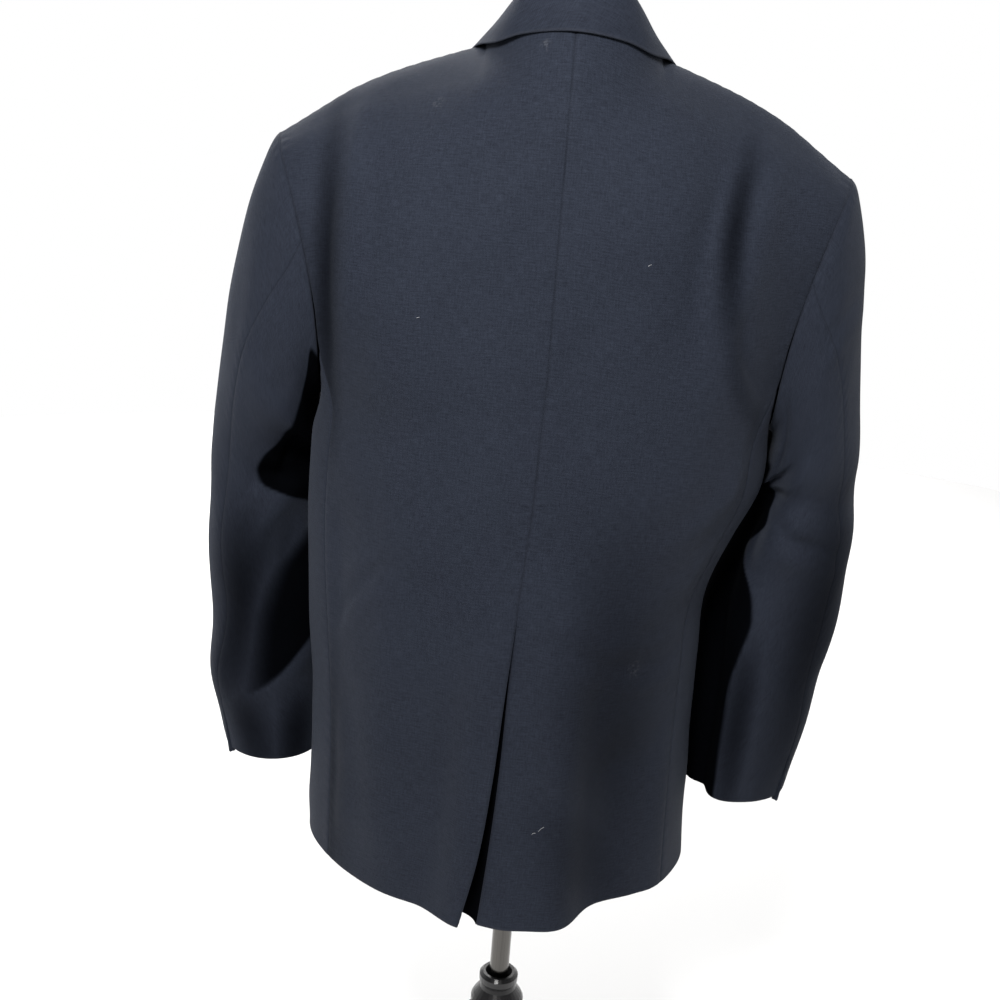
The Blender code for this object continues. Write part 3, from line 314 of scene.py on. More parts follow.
SLEEVE_CREASES = (
    # side, start (degrees, part), middle, end, width, lift
    (1, (168, 0.790), (110, 0.830), (48, 0.905), 0.0130, -0.0045),
    (1, (168, 0.845), (110, 0.880), (48, 0.950), 0.0100, 0.0040),
    (1, (160, 0.620), (110, 0.660), (70, 0.740), 0.0090, 0.0030),
    (1, (150, 0.560), (100, 0.590), (60, 0.660), 0.0070, -0.0026),
    (1, (100, 0.180), (86, 0.280), (60, 0.400), 0.0080, 0.0022),
    (1, (120, 0.240), (112, 0.330), (90, 0.430), 0.0080, -0.0024),
    (1, (20, 0.560), (-20, 0.600), (-60, 0.590), 0.0090, -0.0016),
    (1, (230, 0.480), (260, 0.520), (300, 0.500), 0.0080, -0.0026),
    (1, (220, 0.580), (255, 0.630), (310, 0.600), 0.0090, 0.0022),
    (1, (-60, 0.480), (-90, 0.520), (-120, 0.500), 0.0080, -0.0024),
    (1, (-50, 0.600), (-90, 0.640), (-120, 0.620), 0.0090, 0.0022),
    (-1, (108, 0.770), (88, 0.825), (56, 0.880), 0.0060, -0.0034),
    (-1, (116, 0.800), (96, 0.850), (66, 0.905), 0.0065, 0.0022),
    (-1, (120, 0.636), (84, 0.652), (30, 0.690), 0.0055, -0.0032),
    (-1, (122, 0.664), (84, 0.682), (36, 0.716), 0.0060, 0.0022),
    (-1, (120, 0.600), (90, 0.612), (50, 0.640), 0.0055, 0.0018),
    (-1, (20, 0.300), (50, 0.262), (82, 0.205), 0.0090, -0.0030),
    (-1, (20, 0.350), (56, 0.310), (88, 0.250), 0.0090, 0.0022),
    (-1, (132, 0.597), (100, 0.645), (62, 0.655), 0.0055, -0.0040),
    (-1, (148, 0.600), (150, 0.680), (120, 0.735), 0.0065, 0.0050),
    (-1, (112, 0.760), (117, 0.860), (114, 0.980), 0.0065, 0.0045),
    (-1, (-60, 0.520), (-90, 0.560), (-120, 0.540), 0.0080, -0.0024),
    (-1, (230, 0.500), (262, 0.540), (300, 0.520), 0.0080, -0.0026),
)
# Deep hollows: the cloth sinks here, and painted shade darkens it where little light gets in.
SLEEVE_HOLLOWS_AND_SHADE = (
    # side, start (degrees, part), middle, end, width, depth, shade
    (1, (152, 0.400), (142, 0.500), (128, 0.580), 0.0085, 0.009, 0.50),
    (1, (92, 0.585), (122, 0.596), (152, 0.585), 0.0120, 0.016, 0.60),
    (1, (152, 0.660), (140, 0.740), (150, 0.840), 0.0300, 0.006, 0.50),
    (1, (90, 0.600), (70, 0.780), (50, 1.000), 0.0420, 0.002, 0.90),
    (1, (60, 0.860), (80, 0.960), (90, 1.080), 0.0360, 0.000, 0.82),
    (1, (140, 0.880), (128, 0.970), (112, 1.080), 0.0300, 0.000, 0.90),
    (-1, (66, 0.500), (52, 0.780), (60, 1.100), 0.0440, 0.000, 0.82),
    (-1, (108, 0.760), (106, 0.900), (98, 1.080), 0.0170, 0.000, 0.82),
    (-1, (128, 0.040), (150, 0.300), (162, 0.560), 0.0070, 0.003, 0.40),
    (-1, (168, 0.600), (174, 0.680), (156, 0.760), 0.0140, 0.010, 0.50),
    (-1, (162, 0.720), (144, 0.860), (141, 1.080), 0.0150, 0.012, 0.50),
)
# Painted shade between a sleeve and the body: it starts at an edge (degrees), soft over a reach.
SLEEVE_PAINTED_SHADE = {
    # part of length, edge, reach
    1: ((0.00, 128, 6), (0.05, 122, 4), (0.10, 134, 4), (0.20, 141, 4),
        (0.30, 139, 4), (0.36, 135, 4), (0.44, 127, 5), (0.52, 114, 5),
        (0.56, 98, 6), (0.595, 92, 7), (0.612, 102, 9), (0.626, 132, 12),
        (0.645, 172, 14), (0.67, 190, 20), (0.70, 166, 34), (0.74, 122, 50),
        (0.78, 98, 54), (0.84, 88, 50), (1.00, 88, 50)),
    -1: ((0.00, 190, 8), (0.05, 176, 8), (0.16, 177, 8), (0.28, 166, 7),
         (0.36, 166, 6), (0.45, 166, 5), (0.50, 160, 5), (0.56, 152, 4),
         (0.59, 147, 4), (0.623, 139, 4), (0.67, 152, 4), (0.69, 145, 4),
         (0.717, 125, 4), (0.76, 112, 4), (0.813, 114, 4), (0.85, 118, 4),
         (0.903, 117, 4), (1.00, 115, 4)),
}
PAINTED_SHADE_END = (186.0, 208.0)               # and fades again towards the sleeve's front
SHADE_FOOT_SOFT = 0.008
# Foot of the painted shade, where the cloth turns to the light: (degrees, part of length)
SLEEVE_SHADE_FOOT = {1: ((28.0, 0.953), (100.0, 0.890), (142.0, 0.840), (200.0, 0.800)),
               -1: ((0.0, 1.3), (200.0, 1.3))}
# Painted shade on the back: along the lee of its drapes, and broad patches darker towards the hem.
BACK_PAINTED_SHADE = (
    # side, start (x, z), middle (x, z), end (x, z), width, depth, shade
    (-1, (0.152, 0.70), (0.134, 0.61), (0.140, 0.51), 0.0115, 0.001, 0.85),
    (-1, (0.136, 0.59), (0.150, 0.50), (0.190, 0.43), 0.0120, 0.001, 0.50),
    (1, (0.186, 0.71), (0.183, 0.54), (0.180, 0.36), 0.0130, 0.001, 0.82),
    (-1, (0.060, 0.42), (0.080, 0.19), (0.100, -0.08), 0.0500, 0.000, 0.66),
    (-1, (0.030, 0.16), (0.070, 0.06), (0.120, -0.10), 0.0450, 0.000, 0.60),
    (1, (0.174, 0.26), (0.172, 0.08), (0.166, -0.12), 0.0200, 0.000, 0.62),
)


# ---- curves and surfaces of the cut ------------------------------------------------------
def through(knots, values, at, mirror_first=None):
    """Smooth curve through values at knots: cubic pieces whose slope at a knot is the mean of
    its two spans' slopes. mirror_first flips the first span's slope, for a mirrored edge."""
    knots = np.asarray(knots, float)
    values = np.asarray(values, float)
    at = np.clip(np.asarray(at, float), knots[0], knots[-1])
    wide = (-1,) + (1,) * (values.ndim - 1)
    step = np.diff(knots)
    slope = np.diff(values, axis=0) / step.reshape(wide)
    tangent = np.empty_like(values)
    tangent[0], tangent[-1] = slope[0], slope[-1]
    before, after = step[:-1].reshape(wide), step[1:].reshape(wide)
    tangent[1:-1] = (slope[:-1] * after + slope[1:] * before) / (before + after)
    if mirror_first is not None:
        tangent[0] = slope[0] * np.asarray(mirror_first, float)
    low = np.clip(np.searchsorted(knots, at, side="right") - 1, 0, len(knots) - 2)
    part = ((at - knots[low]) / step[low]).reshape(at.shape + (1,) * (values.ndim - 1))
    span = step[low].reshape(part.shape)
    square, cube = part ** 2, part ** 3
    return ((2 * cube - 3 * square + 1) * values[low]
            + (cube - 2 * square + part) * span * tangent[low]
            + (3 * square - 2 * cube) * values[low + 1]
            + (cube - square) * span * tangent[low + 1])


def column(rows, height, index=1):
    """One column of a table whose first column is the height, or the part of a length."""
    table = np.array(rows, float)
    return through(table[:, 0], table[:, index], height)


def half_column(rows, height, side):
    """The column for the left half (1) or the right half (-1) of the jacket."""
    return column(rows, height, 1 if side > 0 else 2)


def bent(value, power):
    """Power that keeps the sign."""
    return np.sign(value) * np.abs(value) ** power


def torso(side, turn, height):
    """Point of the torso's wall: a superellipse at each height, turn degrees from centre back."""
    width = half_column(TORSO, height, side)
    back, front, mid, power = (column(TORSO, height, index) for index in (3, 4, 5, 6))
    angle = np.radians(turn)
    behind = np.cos(angle) > 0
    power = np.where(behind, power, FRONT_POWER)
    x = width * bent(np.sin(angle), 2 / power)
    y = mid + np.where(behind, back, front) * bent(np.cos(angle), 2 / power)
    return np.stack([x, y, np.broadcast_to(height, x.shape)], axis=-1)


def turn_at(side, x, height, behind):
    """The turn at which the torso's wall stands x from the centre."""
    width = half_column(TORSO, height, side)
    power = column(TORSO, height, 6) if behind else FRONT_POWER
    angle = np.degrees(np.arcsin(bent(x / width, power / 2)))
    return angle if behind else 180.0 - angle


def armhole(beta):
    """Point of the armhole seam, beta degrees from the shoulder point towards the back."""
    hole = ARMHOLE
    cosine, sine = np.cos(np.radians(beta)), np.sin(np.radians(beta))
    return np.stack([hole["x"] + hole["lean"] * cosine - hole["bow"] * sine ** 2,
                     hole["y"] + hole["depth"] * sine, hole["z"] + hole["height"] * cosine], -1)


def shoulder_seam(part):
    """Point of the shoulder seam, from the neck point at 0 to the shoulder point at 1."""
    points = (NECK_POINT, FORM_SHOULDER, tuple(armhole(0.0)))
    return through((0.0, 0.56, 1.0), points, part)


def back_top(across):
    """The back's upper edge: round the neck to the neck point, then along the shoulder."""
    turn = np.clip(across * 3, 0, 1) * math.pi / 2
    neck_y, neck_z = NECK_BACK
    around = np.stack([NECK_POINT[0] * np.sin(turn),
                       NECK_POINT[1] + (neck_y - NECK_POINT[1]) * np.cos(turn),
                       neck_z + (NECK_POINT[2] - neck_z) * (1 - np.cos(turn))], axis=-1)
    along = shoulder_seam(np.clip(across * 1.5 - 0.5, 0, 1))
    return np.where((across < 1 / 3 + 1e-9)[:, None], around, along)


def level_arrival(before, last, way, span):
    """Slope with which a loft reaches its last row: as long as the last step, along way."""
    return np.linalg.norm(last - before, axis=-1, keepdims=True) * np.array(way) / span


def smooth_step(low, high, value):
    """0 below low, 1 above high, with a level start and end between them."""
    part = np.clip((value - low) / (high - low), 0, 1)
    return part * part * (3 - 2 * part)


def loft(rows, levels, along, last_tangent=None):
    """Rows of points joined by smooth curves, read at the levels in along. The last span may
    be bent so that it arrives along last_tangent."""
    rows = np.array(rows)
    grid = through(levels, rows, along)
    if last_tangent is not None:
        start, end = levels[-2], levels[-1]
        inside = along > start
        part = ((along[inside] - start) / (end - start))[:, None, None]
        arrival = (rows[-1] - rows[-2]) / (end - start)
        grid[inside] += (part ** 3 - part ** 2) * (end - start) * (last_tangent - arrival)
    return grid


def unit(ways):
    """Ways of length 1."""
    return ways / np.maximum(np.linalg.norm(ways, axis=-1, keepdims=True), 1e-12)


def normals(grid):
    """Unit normals of a grid of points, from its two directions."""
    return unit(np.cross(np.gradient(grid, axis=0), np.gradient(grid, axis=1)))


def turns(steps):
    """Angles all round a ring, in radians."""
    return np.linspace(0, 2 * math.pi, steps, endpoint=False)


def near_line(x, z, start, end, width):
    """1 on the line from start to end, falling off like a bell over width and past its ends."""
    start, end = np.array(start), np.array(end)
    way = end - start
    length = np.linalg.norm(way)
    along = ((x - start[0]) * way[0] + (z - start[1]) * way[1]) / length ** 2
    off = np.abs((x - start[0]) * way[1] - (z - start[1]) * way[0]) / length
    past = np.maximum(0, np.maximum(-along, along - 1)) * length
    return np.exp(-(off ** 2 + past ** 2 * 0.6) / (2 * width ** 2))


def near_curve(x, z, points, width):
    """A crease: a bell across the smooth curve through three points, fading to nothing at both
    ends, with a shallow trough along each of its sides."""
    part = np.linspace(0, 1, 65)
    curve = through((0.0, 0.5, 1.0), points, part)
    gap = (x[..., None] - curve[:, 0]) ** 2 + (z[..., None] - curve[:, 1]) ** 2
    nearest = gap.argmin(axis=-1)
    square = np.take_along_axis(gap, nearest[..., None], axis=-1)[..., 0]
    fade = np.sin(math.pi * np.clip(part[nearest], 0.03, 0.97)) ** 0.7
    return fade * (np.exp(-square / (2 * width ** 2))
                   - 0.30 * np.exp(-square / (2 * (2.1 * width) ** 2)))


def of_side(table, side):
    """The rows of a table for one side, without the column that names it."""
    return (row[1:] for row in table if row[0] == side)


def hollow(x, z, table, side, scale=(1.0, 1.0)):
    """How deep each point sinks in the hollows of a table, and how much shade is painted on it."""
    depth, shade = np.zeros(x.shape), np.zeros(x.shape)
    for start, middle, end, width, deep, dark in of_side(table, side):
        bell = near_curve(x, z, np.array([start, middle, end]) * scale, width)
        depth += deep * np.maximum(bell, 0.0)
        shade = np.maximum(shade, dark * bell)
    return depth, shade


def panel_lift(grid, folds, creases, side):
    """How far a body panel's folds and creases raise each point."""
    x, z = grid[..., 0], grid[..., 2]
    lift = np.zeros(grid.shape[:2])
    for x0, z0, x1, z1, width, height in of_side(folds, side):
        lift += height * near_line(x, z, (x0, z0), (x1, z1), width)
    for start, middle, end, width, height in of_side(creases, side):
        lift += CREASE_LIFT * height * near_curve(x, z, (start, middle, end), width)
    return lift


def undulation(u, v, seed, height):
    """Slow unevenness of worn cloth: a sum of plane waves, 45 to 160 mm long, whose ways and
    phases are drawn once from the seed."""
    draw = np.random.default_rng(seed)
    waves = 12
    length = draw.uniform(0.045, 0.160, waves)
    way = draw.uniform(0, math.pi, waves)
    phase = draw.uniform(0, 2 * math.pi, waves)
    path = u[..., None] * np.cos(way) + v[..., None] * np.sin(way)
    return height * (np.sin(2 * math.pi * path / length + phase) * length / 0.16).sum(-1) / 2.4


def spaced(length, pitch=PITCH, fine=(0.0006, 0.0016)):
    """Shares 0 to 1 of a length: even steps of about pitch, and closer ones at both ends."""
    count = max(4, int(round(length / pitch)))
    even = np.linspace(0, 1, count + 1)
    close = np.array(fine) / length
    return np.unique(np.concatenate([even, close, 1 - close]))


def distances(grid):
    """Distance along the cloth from each point to the grid's left, right, foot and top edge."""
    across = np.linalg.norm(np.diff(grid, axis=1), axis=-1)
    along = np.linalg.norm(np.diff(grid, axis=0), axis=-1)
    left = np.concatenate([np.zeros((len(grid), 1)), np.cumsum(across, axis=1)], axis=1)
    foot = np.concatenate([np.zeros((1, grid.shape[1])), np.cumsum(along, axis=0)], axis=0)
    return {"left": left, "right": left[:, -1:] - left, "foot": foot, "top": foot[-1:] - foot}


# ---- the pieces' surfaces, in the jacket's own coordinates -------------------------------
def back_surface(side, across, levels):
    """Back half: torso sections up to the armhole's foot, then rows up to neck and shoulder."""
    sections, heights = [], []
    for height in LOW_HEIGHTS:
        edge = half_column(BACK_EDGE, height, side)
        start = turn_at(side, float(edge), height, True)
        sections.append(torso(side, start + (SIDE_SEAM_BACK - start) * across, height))
        heights.append(height)
    for beta, centre_y, centre_z, inner, outer in BACK_ROWS:
        points = ((0.0, centre_y, centre_z), inner, outer, tuple(armhole(beta)))
        sections.append(through(THIRDS, points, across, mirror_first=(1.0, 0.0, 0.0)))
        heights.append(centre_z)
    sections.append(back_top(across))
    heights.append(NECK_BACK[1])
    over = smooth_step(0.25, 0.45, across)[:, None]
    before, last = sections[-2:]
    span = heights[-1] - heights[-2]
    flat = level_arrival(before, last, (0.0, -1.0, 0.05), span)
    grid = loft(sections, heights, levels, (last - before) / span * (1 - over) + flat * over)
    height = grid[..., 2]
    calm = (1 - smooth_step(0.64, 0.71, height)) * (1 - smooth_step(0.86, 1.0, across))[None, :]
    lift = panel_lift(grid, BACK_FOLDS, BACK_CREASES, side) * calm
    grid = grid + normals(grid) * lift[..., None]
    near_vent = (1 - smooth_step(0.0, 0.30, across))[None, :]
    low = 1 - smooth_step(VENT_TOP - 0.05, VENT_TOP + 0.02, height)
    kick = 1 - smooth_step(0.0, 0.22, height)
    if side > 0:
        grid[..., 1] += near_vent * (VENT_LAP * low + VENT_KICK * kick)
    else:
        grid[..., 1] -= near_vent * VENT_SINK * low
    return grid


def underlap_surface(across, rows):
    """The right half's vent underlap: it turns in from that half's edge and passes deep under
    the left half."""
    levels = np.linspace(LOW_HEIGHTS[0], VENT_TOP, 120)
    edge = back_surface(-1, np.array([0.0, 0.05]), levels)[:, 0]
    height = np.linspace(edge[0, 2], VENT_TOP - 0.012, rows)
    start = np.stack([np.interp(height, edge[:, 2], edge[:, i]) for i in range(3)], axis=-1)
    open_low = (1 - smooth_step(0.05, VENT_TOP, height))[:, None]
    grid = np.repeat(start[:, None, :], len(across), axis=1)
    depth = UNDERLAP["depth"] * (0.22 + 0.78 * open_low)
    grid[..., 0] -= UNDERLAP["turn"] + UNDERLAP["width"] * across[None, :] ** 1.5
    grid[..., 1] -= UNDERLAP["turn"] + depth * (1 - (1 - across[None, :]) ** 2)
    return grid


def front_surface(side, across, levels):
    """Front half: from the side body to the front edge and, above the buttons, the roll line."""
    sections, heights = [], []
    for height in LOW_HEIGHTS:
        end = turn_at(side, float(column(FRONT_EDGE, max(height, 0.0))), height, False)
        row = torso(side, SIDE_SEAM_FRONT + (end - SIDE_SEAM_FRONT) * across, height)
        row[:, 2] += HEM_CURVE * across ** 5 * (1 - smooth_step(0.0, 0.16, height))
        sections.append(row)
        heights.append(height)
    for beta, roll, inner, outer in FRONT_ROWS:
        points = (tuple(armhole(-beta)), outer, inner, roll)
        sections.append(through(THIRDS, points, across))
        heights.append(roll[2])
    sections.append(shoulder_seam(1 - across))
    heights.append(FRONT_TOP)
    span = heights[-1] - heights[-2]
    grid = loft(sections, heights, levels,
                level_arrival(*sections[-2:], (0.0, 1.0, 0.05), span))
    lap = 1 - smooth_step(0.035, 0.075, grid[..., 0])
    low = 1 - smooth_step(0.42, 0.47, grid[..., 2])
    grid[..., 1] -= lap * low * FRONT_LAP * side
    calm = (1 - smooth_step(0.62, 0.70, grid[..., 2])) * smooth_step(0.0, 0.14, across)[None, :]
    lift = panel_lift(grid, FRONT_FOLDS, FRONT_CREASES, side) * calm
    return grid + normals(grid) * lift[..., None]


def side_surface(side, across, levels):
    """Side body: torso sections between the side seams, up to the armhole's foot."""
    turn = SIDE_SEAM_BACK + (SIDE_SEAM_FRONT - SIDE_SEAM_BACK) * across
    dip = {0.39: 0.008, 0.435: 0.028}
    sections = [torso(side, turn, height - dip.get(height, 0.0) * np.sin(math.pi * across))
                for height in LOW_HEIGHTS]
    top = armhole(ARMHOLE_BACK + (ARMHOLE_FRONT - ARMHOLE_BACK) * across)
    edge_share = (np.abs(2 * across - 1) ** 4)[:, None]
    past_edge = np.where((across < 0.5)[:, None], armhole(BACK_ROWS[1][0]),
                         armhole(-FRONT_ROWS[1][0]))
    past = past_edge * edge_share + (top + (0, 0, 0.03)) * (1 - edge_share)
    heights = (*LOW_HEIGHTS, JUNCTION, BACK_ROWS[1][2])
    return loft(sections + [top, past], heights, levels)


def sleeve_surface(side, first, last, share, along):
    """Part of a sleeve between two seams, each a table of (part of length, degrees).
    A ring runs outward (0), back (90), inward (180) and front (270)."""
    table = np.array(SLEEVE_LEFT if side > 0 else SLEEVE_RIGHT)
    levels = np.linspace(0, 1, len(table))
    out_x, out_z, in_x, in_z, mid_y, half_y, bow = through(levels, table, along).T
    low, high = column(first, along)[:, None], column(last, along)[:, None]
    degrees = low + (high - low) * share[None, :]
    cosine, sine = np.cos(np.radians(degrees)), np.sin(np.radians(degrees))
    grid = np.empty(degrees.shape + (3,))
    grid[..., 0] = ((out_x + in_x) / 2)[:, None] + ((out_x - in_x) / 2)[:, None] * cosine
    grid[..., 0] -= bow[:, None] * sine ** 2
    grid[..., 1] = mid_y[:, None] + half_y[:, None] * sine
    grid[..., 2] = ((out_z + in_z) / 2)[:, None] + ((out_z - in_z) / 2)[:, None] * cosine
    part = np.broadcast_to(along[:, None], degrees.shape)
    lift = np.zeros(degrees.shape)
    for angle0, part0, angle1, part1, wide, long, height in of_side(SLEEVE_FOLDS, side):
        scale = long / wide
        lift += height * near_line(degrees * scale, part, (angle0 * scale, part0),
                                   (angle1 * scale, part1), long)
    scale = np.array([SLEEVE_DEGREE, SLEEVE_LENGTH])
    u, v = degrees * scale[0], part * scale[1]
    for start, middle, end, width, height in of_side(SLEEVE_CREASES, side):
        lift += height * near_curve(u, v, np.array([start, middle, end]) * scale, width)
    # The hollows sink the cloth and give the painted shade on it.
    depth, shade = hollow(u, v, SLEEVE_HOLLOWS_AND_SHADE, side, scale)
    press, begins, full, eases, ends = PRESS[side]
    window = smooth_step(begins, full, part) * (1 - smooth_step(eases, ends, part))
    lift += press * window * np.exp(-((degrees - PRESS_AT) / PRESS_REACH) ** 2) - depth
    # Painted shade between the sleeve and the body, cut off at its foot; deep is this shade, not a depth.
    edge, reach = (column(SLEEVE_PAINTED_SHADE[side], along, index)[:, None] for index in (1, 2))
    foot = column(SLEEVE_SHADE_FOOT[side], degrees)
    deep = smooth_step(edge - reach, edge + reach, degrees) * (1 - smooth_step(*PAINTED_SHADE_END, degrees))
    shade = np.maximum(shade, deep * (1 - smooth_step(foot - SHADE_FOOT_SOFT, foot + SHADE_FOOT_SOFT, part)))
    axis = np.stack([(out_x + in_x) / 2, mid_y, (out_z + in_z) / 2], axis=-1)[:, None, :]
    return grid + unit(grid - axis) * (lift * smooth_step(0.0, 0.10, part))[..., None], shade


def cuff_corner(grid, along):
    """The topsleeve with the loose corner of its cuff vent, at the hind seam: it hangs a little
    lower there and stands off the undersleeve."""
    corner = CUFF_CORNER
    near = np.exp(-((1 - np.linspace(0, 1, grid.shape[1])) / corner["reach"]) ** 2)[None, :]
    low = smooth_step(0.90, 1.0, along)[:, None]
    share = (near * low)[..., None]
    down = share * low[..., None] * (0, 0, corner["drop"])
    return grid + normals(grid) * share * corner["lift"] - down


def lapel_surface(side, across, along):
    """Lapel: it lies on the front, lifted off it, from the roll line to its outer edge."""
    columns, rows = 60, 150
    front = front_surface(side, np.linspace(0, 1, columns + 1),
                          np.linspace(LOW_HEIGHTS[0], FRONT_TOP, rows + 1))
    face = normals(front)
    roll_heights = front[:, -1, 2]
    start = np.interp(LAPEL_START[side], roll_heights, np.arange(rows + 1))
    end = np.interp(LAPEL_TOP, roll_heights, np.arange(rows + 1))
    share = column(LAPEL, along)[:, None]
    u = (1 - share * across[None, :]) * columns - 0.02
    drop = NOTCH_DROP * across[None, :] * smooth_step(0.75, 1.0, along)[:, None]
    v = start + (end - start) * (along[:, None] - drop)
    column_low = np.clip(np.floor(u).astype(int), 0, columns - 1)
    row_low = np.clip(np.floor(v).astype(int), 0, rows - 1)
    part_u, part_v = (u - column_low)[..., None], (v - row_low)[..., None]

    def read(field):
        lower = field[row_low, column_low] * (1 - part_u) + field[row_low, column_low + 1] * part_u
        upper = (field[row_low + 1, column_low] * (1 - part_u)
                 + field[row_low + 1, column_low + 1] * part_u)
        return lower * (1 - part_v) + upper * part_v

    roll = np.exp(-(across / ROLL_SPREAD) ** 2)[None, :] * (1 - ROLL_EASE * along[:, None])
    lift = LAPEL_LIFT + LAPEL_ROLL * roll
    under, up = read(front), read(face)
    flat = under + up * lift[..., None]
    # The roll: a half circle from the front's edge round to the lapel's first column.
    angle = np.linspace(0, math.pi, 9)[None, :-1, None]
    radius = (lift[:, :1] / 2)[..., None]
    centre = under[:, :1] + up[:, :1] * radius
    out = unit(flat[:, :1] - flat[:, 1:2])
    bend = centre - up[:, :1] * radius * np.cos(angle) + out * radius * 0.8 * np.sin(angle)
    return np.concatenate([bend, flat], axis=1)


def collar_surface(around, share):
    """Collar: up from the neck seam, over the fold and down to the outer edge, round the neck."""
    parts = [row[0] for row in COLLAR_ROWS]
    seam, fold, edge = (through(parts, [row[i] for row in COLLAR_ROWS], np.abs(around),
                                mirror_first=(1.0, 0.0, 0.0)) for i in (1, 2, 3))
    for line in (seam, fold, edge):
        line[:, 0] *= np.sign(around)
    out = unit((edge - seam) * (1, 1, 0))
    drop = np.array([0.0, 0.0, COLLAR_FOLD["drop"]])
    inner_top = fold - out * COLLAR_FOLD["inner"] - drop
    outer_top = fold + out * COLLAR_FOLD["outer"] - drop
    half = (edge + outer_top) / 2 + out * COLLAR_FOLD["belly"]
    lines = np.array([seam, seam * 0.45 + inner_top * 0.55, inner_top, fold, outer_top, half, edge])
    return through((0, 0.26, 0.46, 0.52, 0.58, 0.8, 1.0), lines, share)


# ---- shells ------------------------------------------------------------------------------
SEAM_DIP, SEAM_REACH = 0.0006, 0.0024
SEAM_CALM, EDGE_CALM = 0.012, 0.008     # how far from a seam or an edge the unevenness begins
PUCKER = {"length": 0.013, "drift": 0.021, "swing": 2.2, "height": 0.00022, "off": 0.005}
ALLOWANCE = 0.0050
FAR = 1.0                               # farther than any seam or edge


def signed_volume(points, quads):
    """Volume of a closed mesh of quads, below zero if it is inside out."""
    a, b, c, d = (points[quads[:, i]] for i in range(4))
    return float((np.einsum("ij,ij->i", a, np.cross(b, c))
                  + np.einsum("ij,ij->i", a, np.cross(c, d))).sum() / 6)


def mesh_object(name, points, quads, material, closed=True):
    """An object whose mesh has these points and faces, in the frame's own coordinates. A closed
    one gets its faces turned outwards and is shaded smooth."""
    points = np.asarray(points, float).reshape(-1, 3)
    if closed and signed_volume(points - points.mean(0), quads) < 0:
        quads = quads[:, ::-1]
    mesh = bpy.data.meshes.new(name)
    mesh.vertices.add(len(points))
    mesh.vertices.foreach_set("co", points.astype(np.float32).ravel())
    mesh.loops.add(quads.size)
    mesh.loops.foreach_set("vertex_index", quads.astype(np.int32).ravel())
    mesh.polygons.add(len(quads))
    mesh.polygons.foreach_set("loop_start", np.arange(0, quads.size, quads.shape[1], dtype=np.int32))
    mesh.update(calc_edges=True)
    mesh.validate()
    if closed:
        mesh.shade_smooth()
        mesh.set_sharp_from_angle(angle=math.radians(60))
    mesh.materials.append(material)
    thing = bpy.data.objects.new(name, mesh)
    bpy.context.scene.collection.objects.link(thing)
    return thing


def dress(thing, body, node=None):
    """Says which body a piece rides on and which solid it stands for."""
    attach(thing, body)
    if node:
        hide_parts(node)


def turned_in(grid, face, edge, depth):
    """The grid with its seam allowance added at one edge: two lines that turn in from it."""
    rows = {"left": np.s_[:, 0], "right": np.s_[:, -1], "foot": np.s_[0, :], "top": np.s_[-1, :]}
    inner = {"left": np.s_[:, 2], "right": np.s_[:, -3], "foot": np.s_[2, :], "top": np.s_[-3, :]}
    line = grid[rows[edge]]
    back = unit(grid[inner[edge]] - line)
    depth = np.broadcast_to(depth, line.shape[:1])[:, None]
    near = line + back * 0.0007 - face[rows[edge]] * depth * 0.4
    far = line + back * 0.0010 - face[rows[edge]] * depth
    axis = 1 if edge in ("left", "right") else 0
    lines = [np.expand_dims(far, axis), np.expand_dims(near, axis)]
    if edge in ("left", "foot"):
        return np.concatenate(lines + [grid], axis=axis)
    return np.concatenate([grid] + lines[::-1], axis=axis)


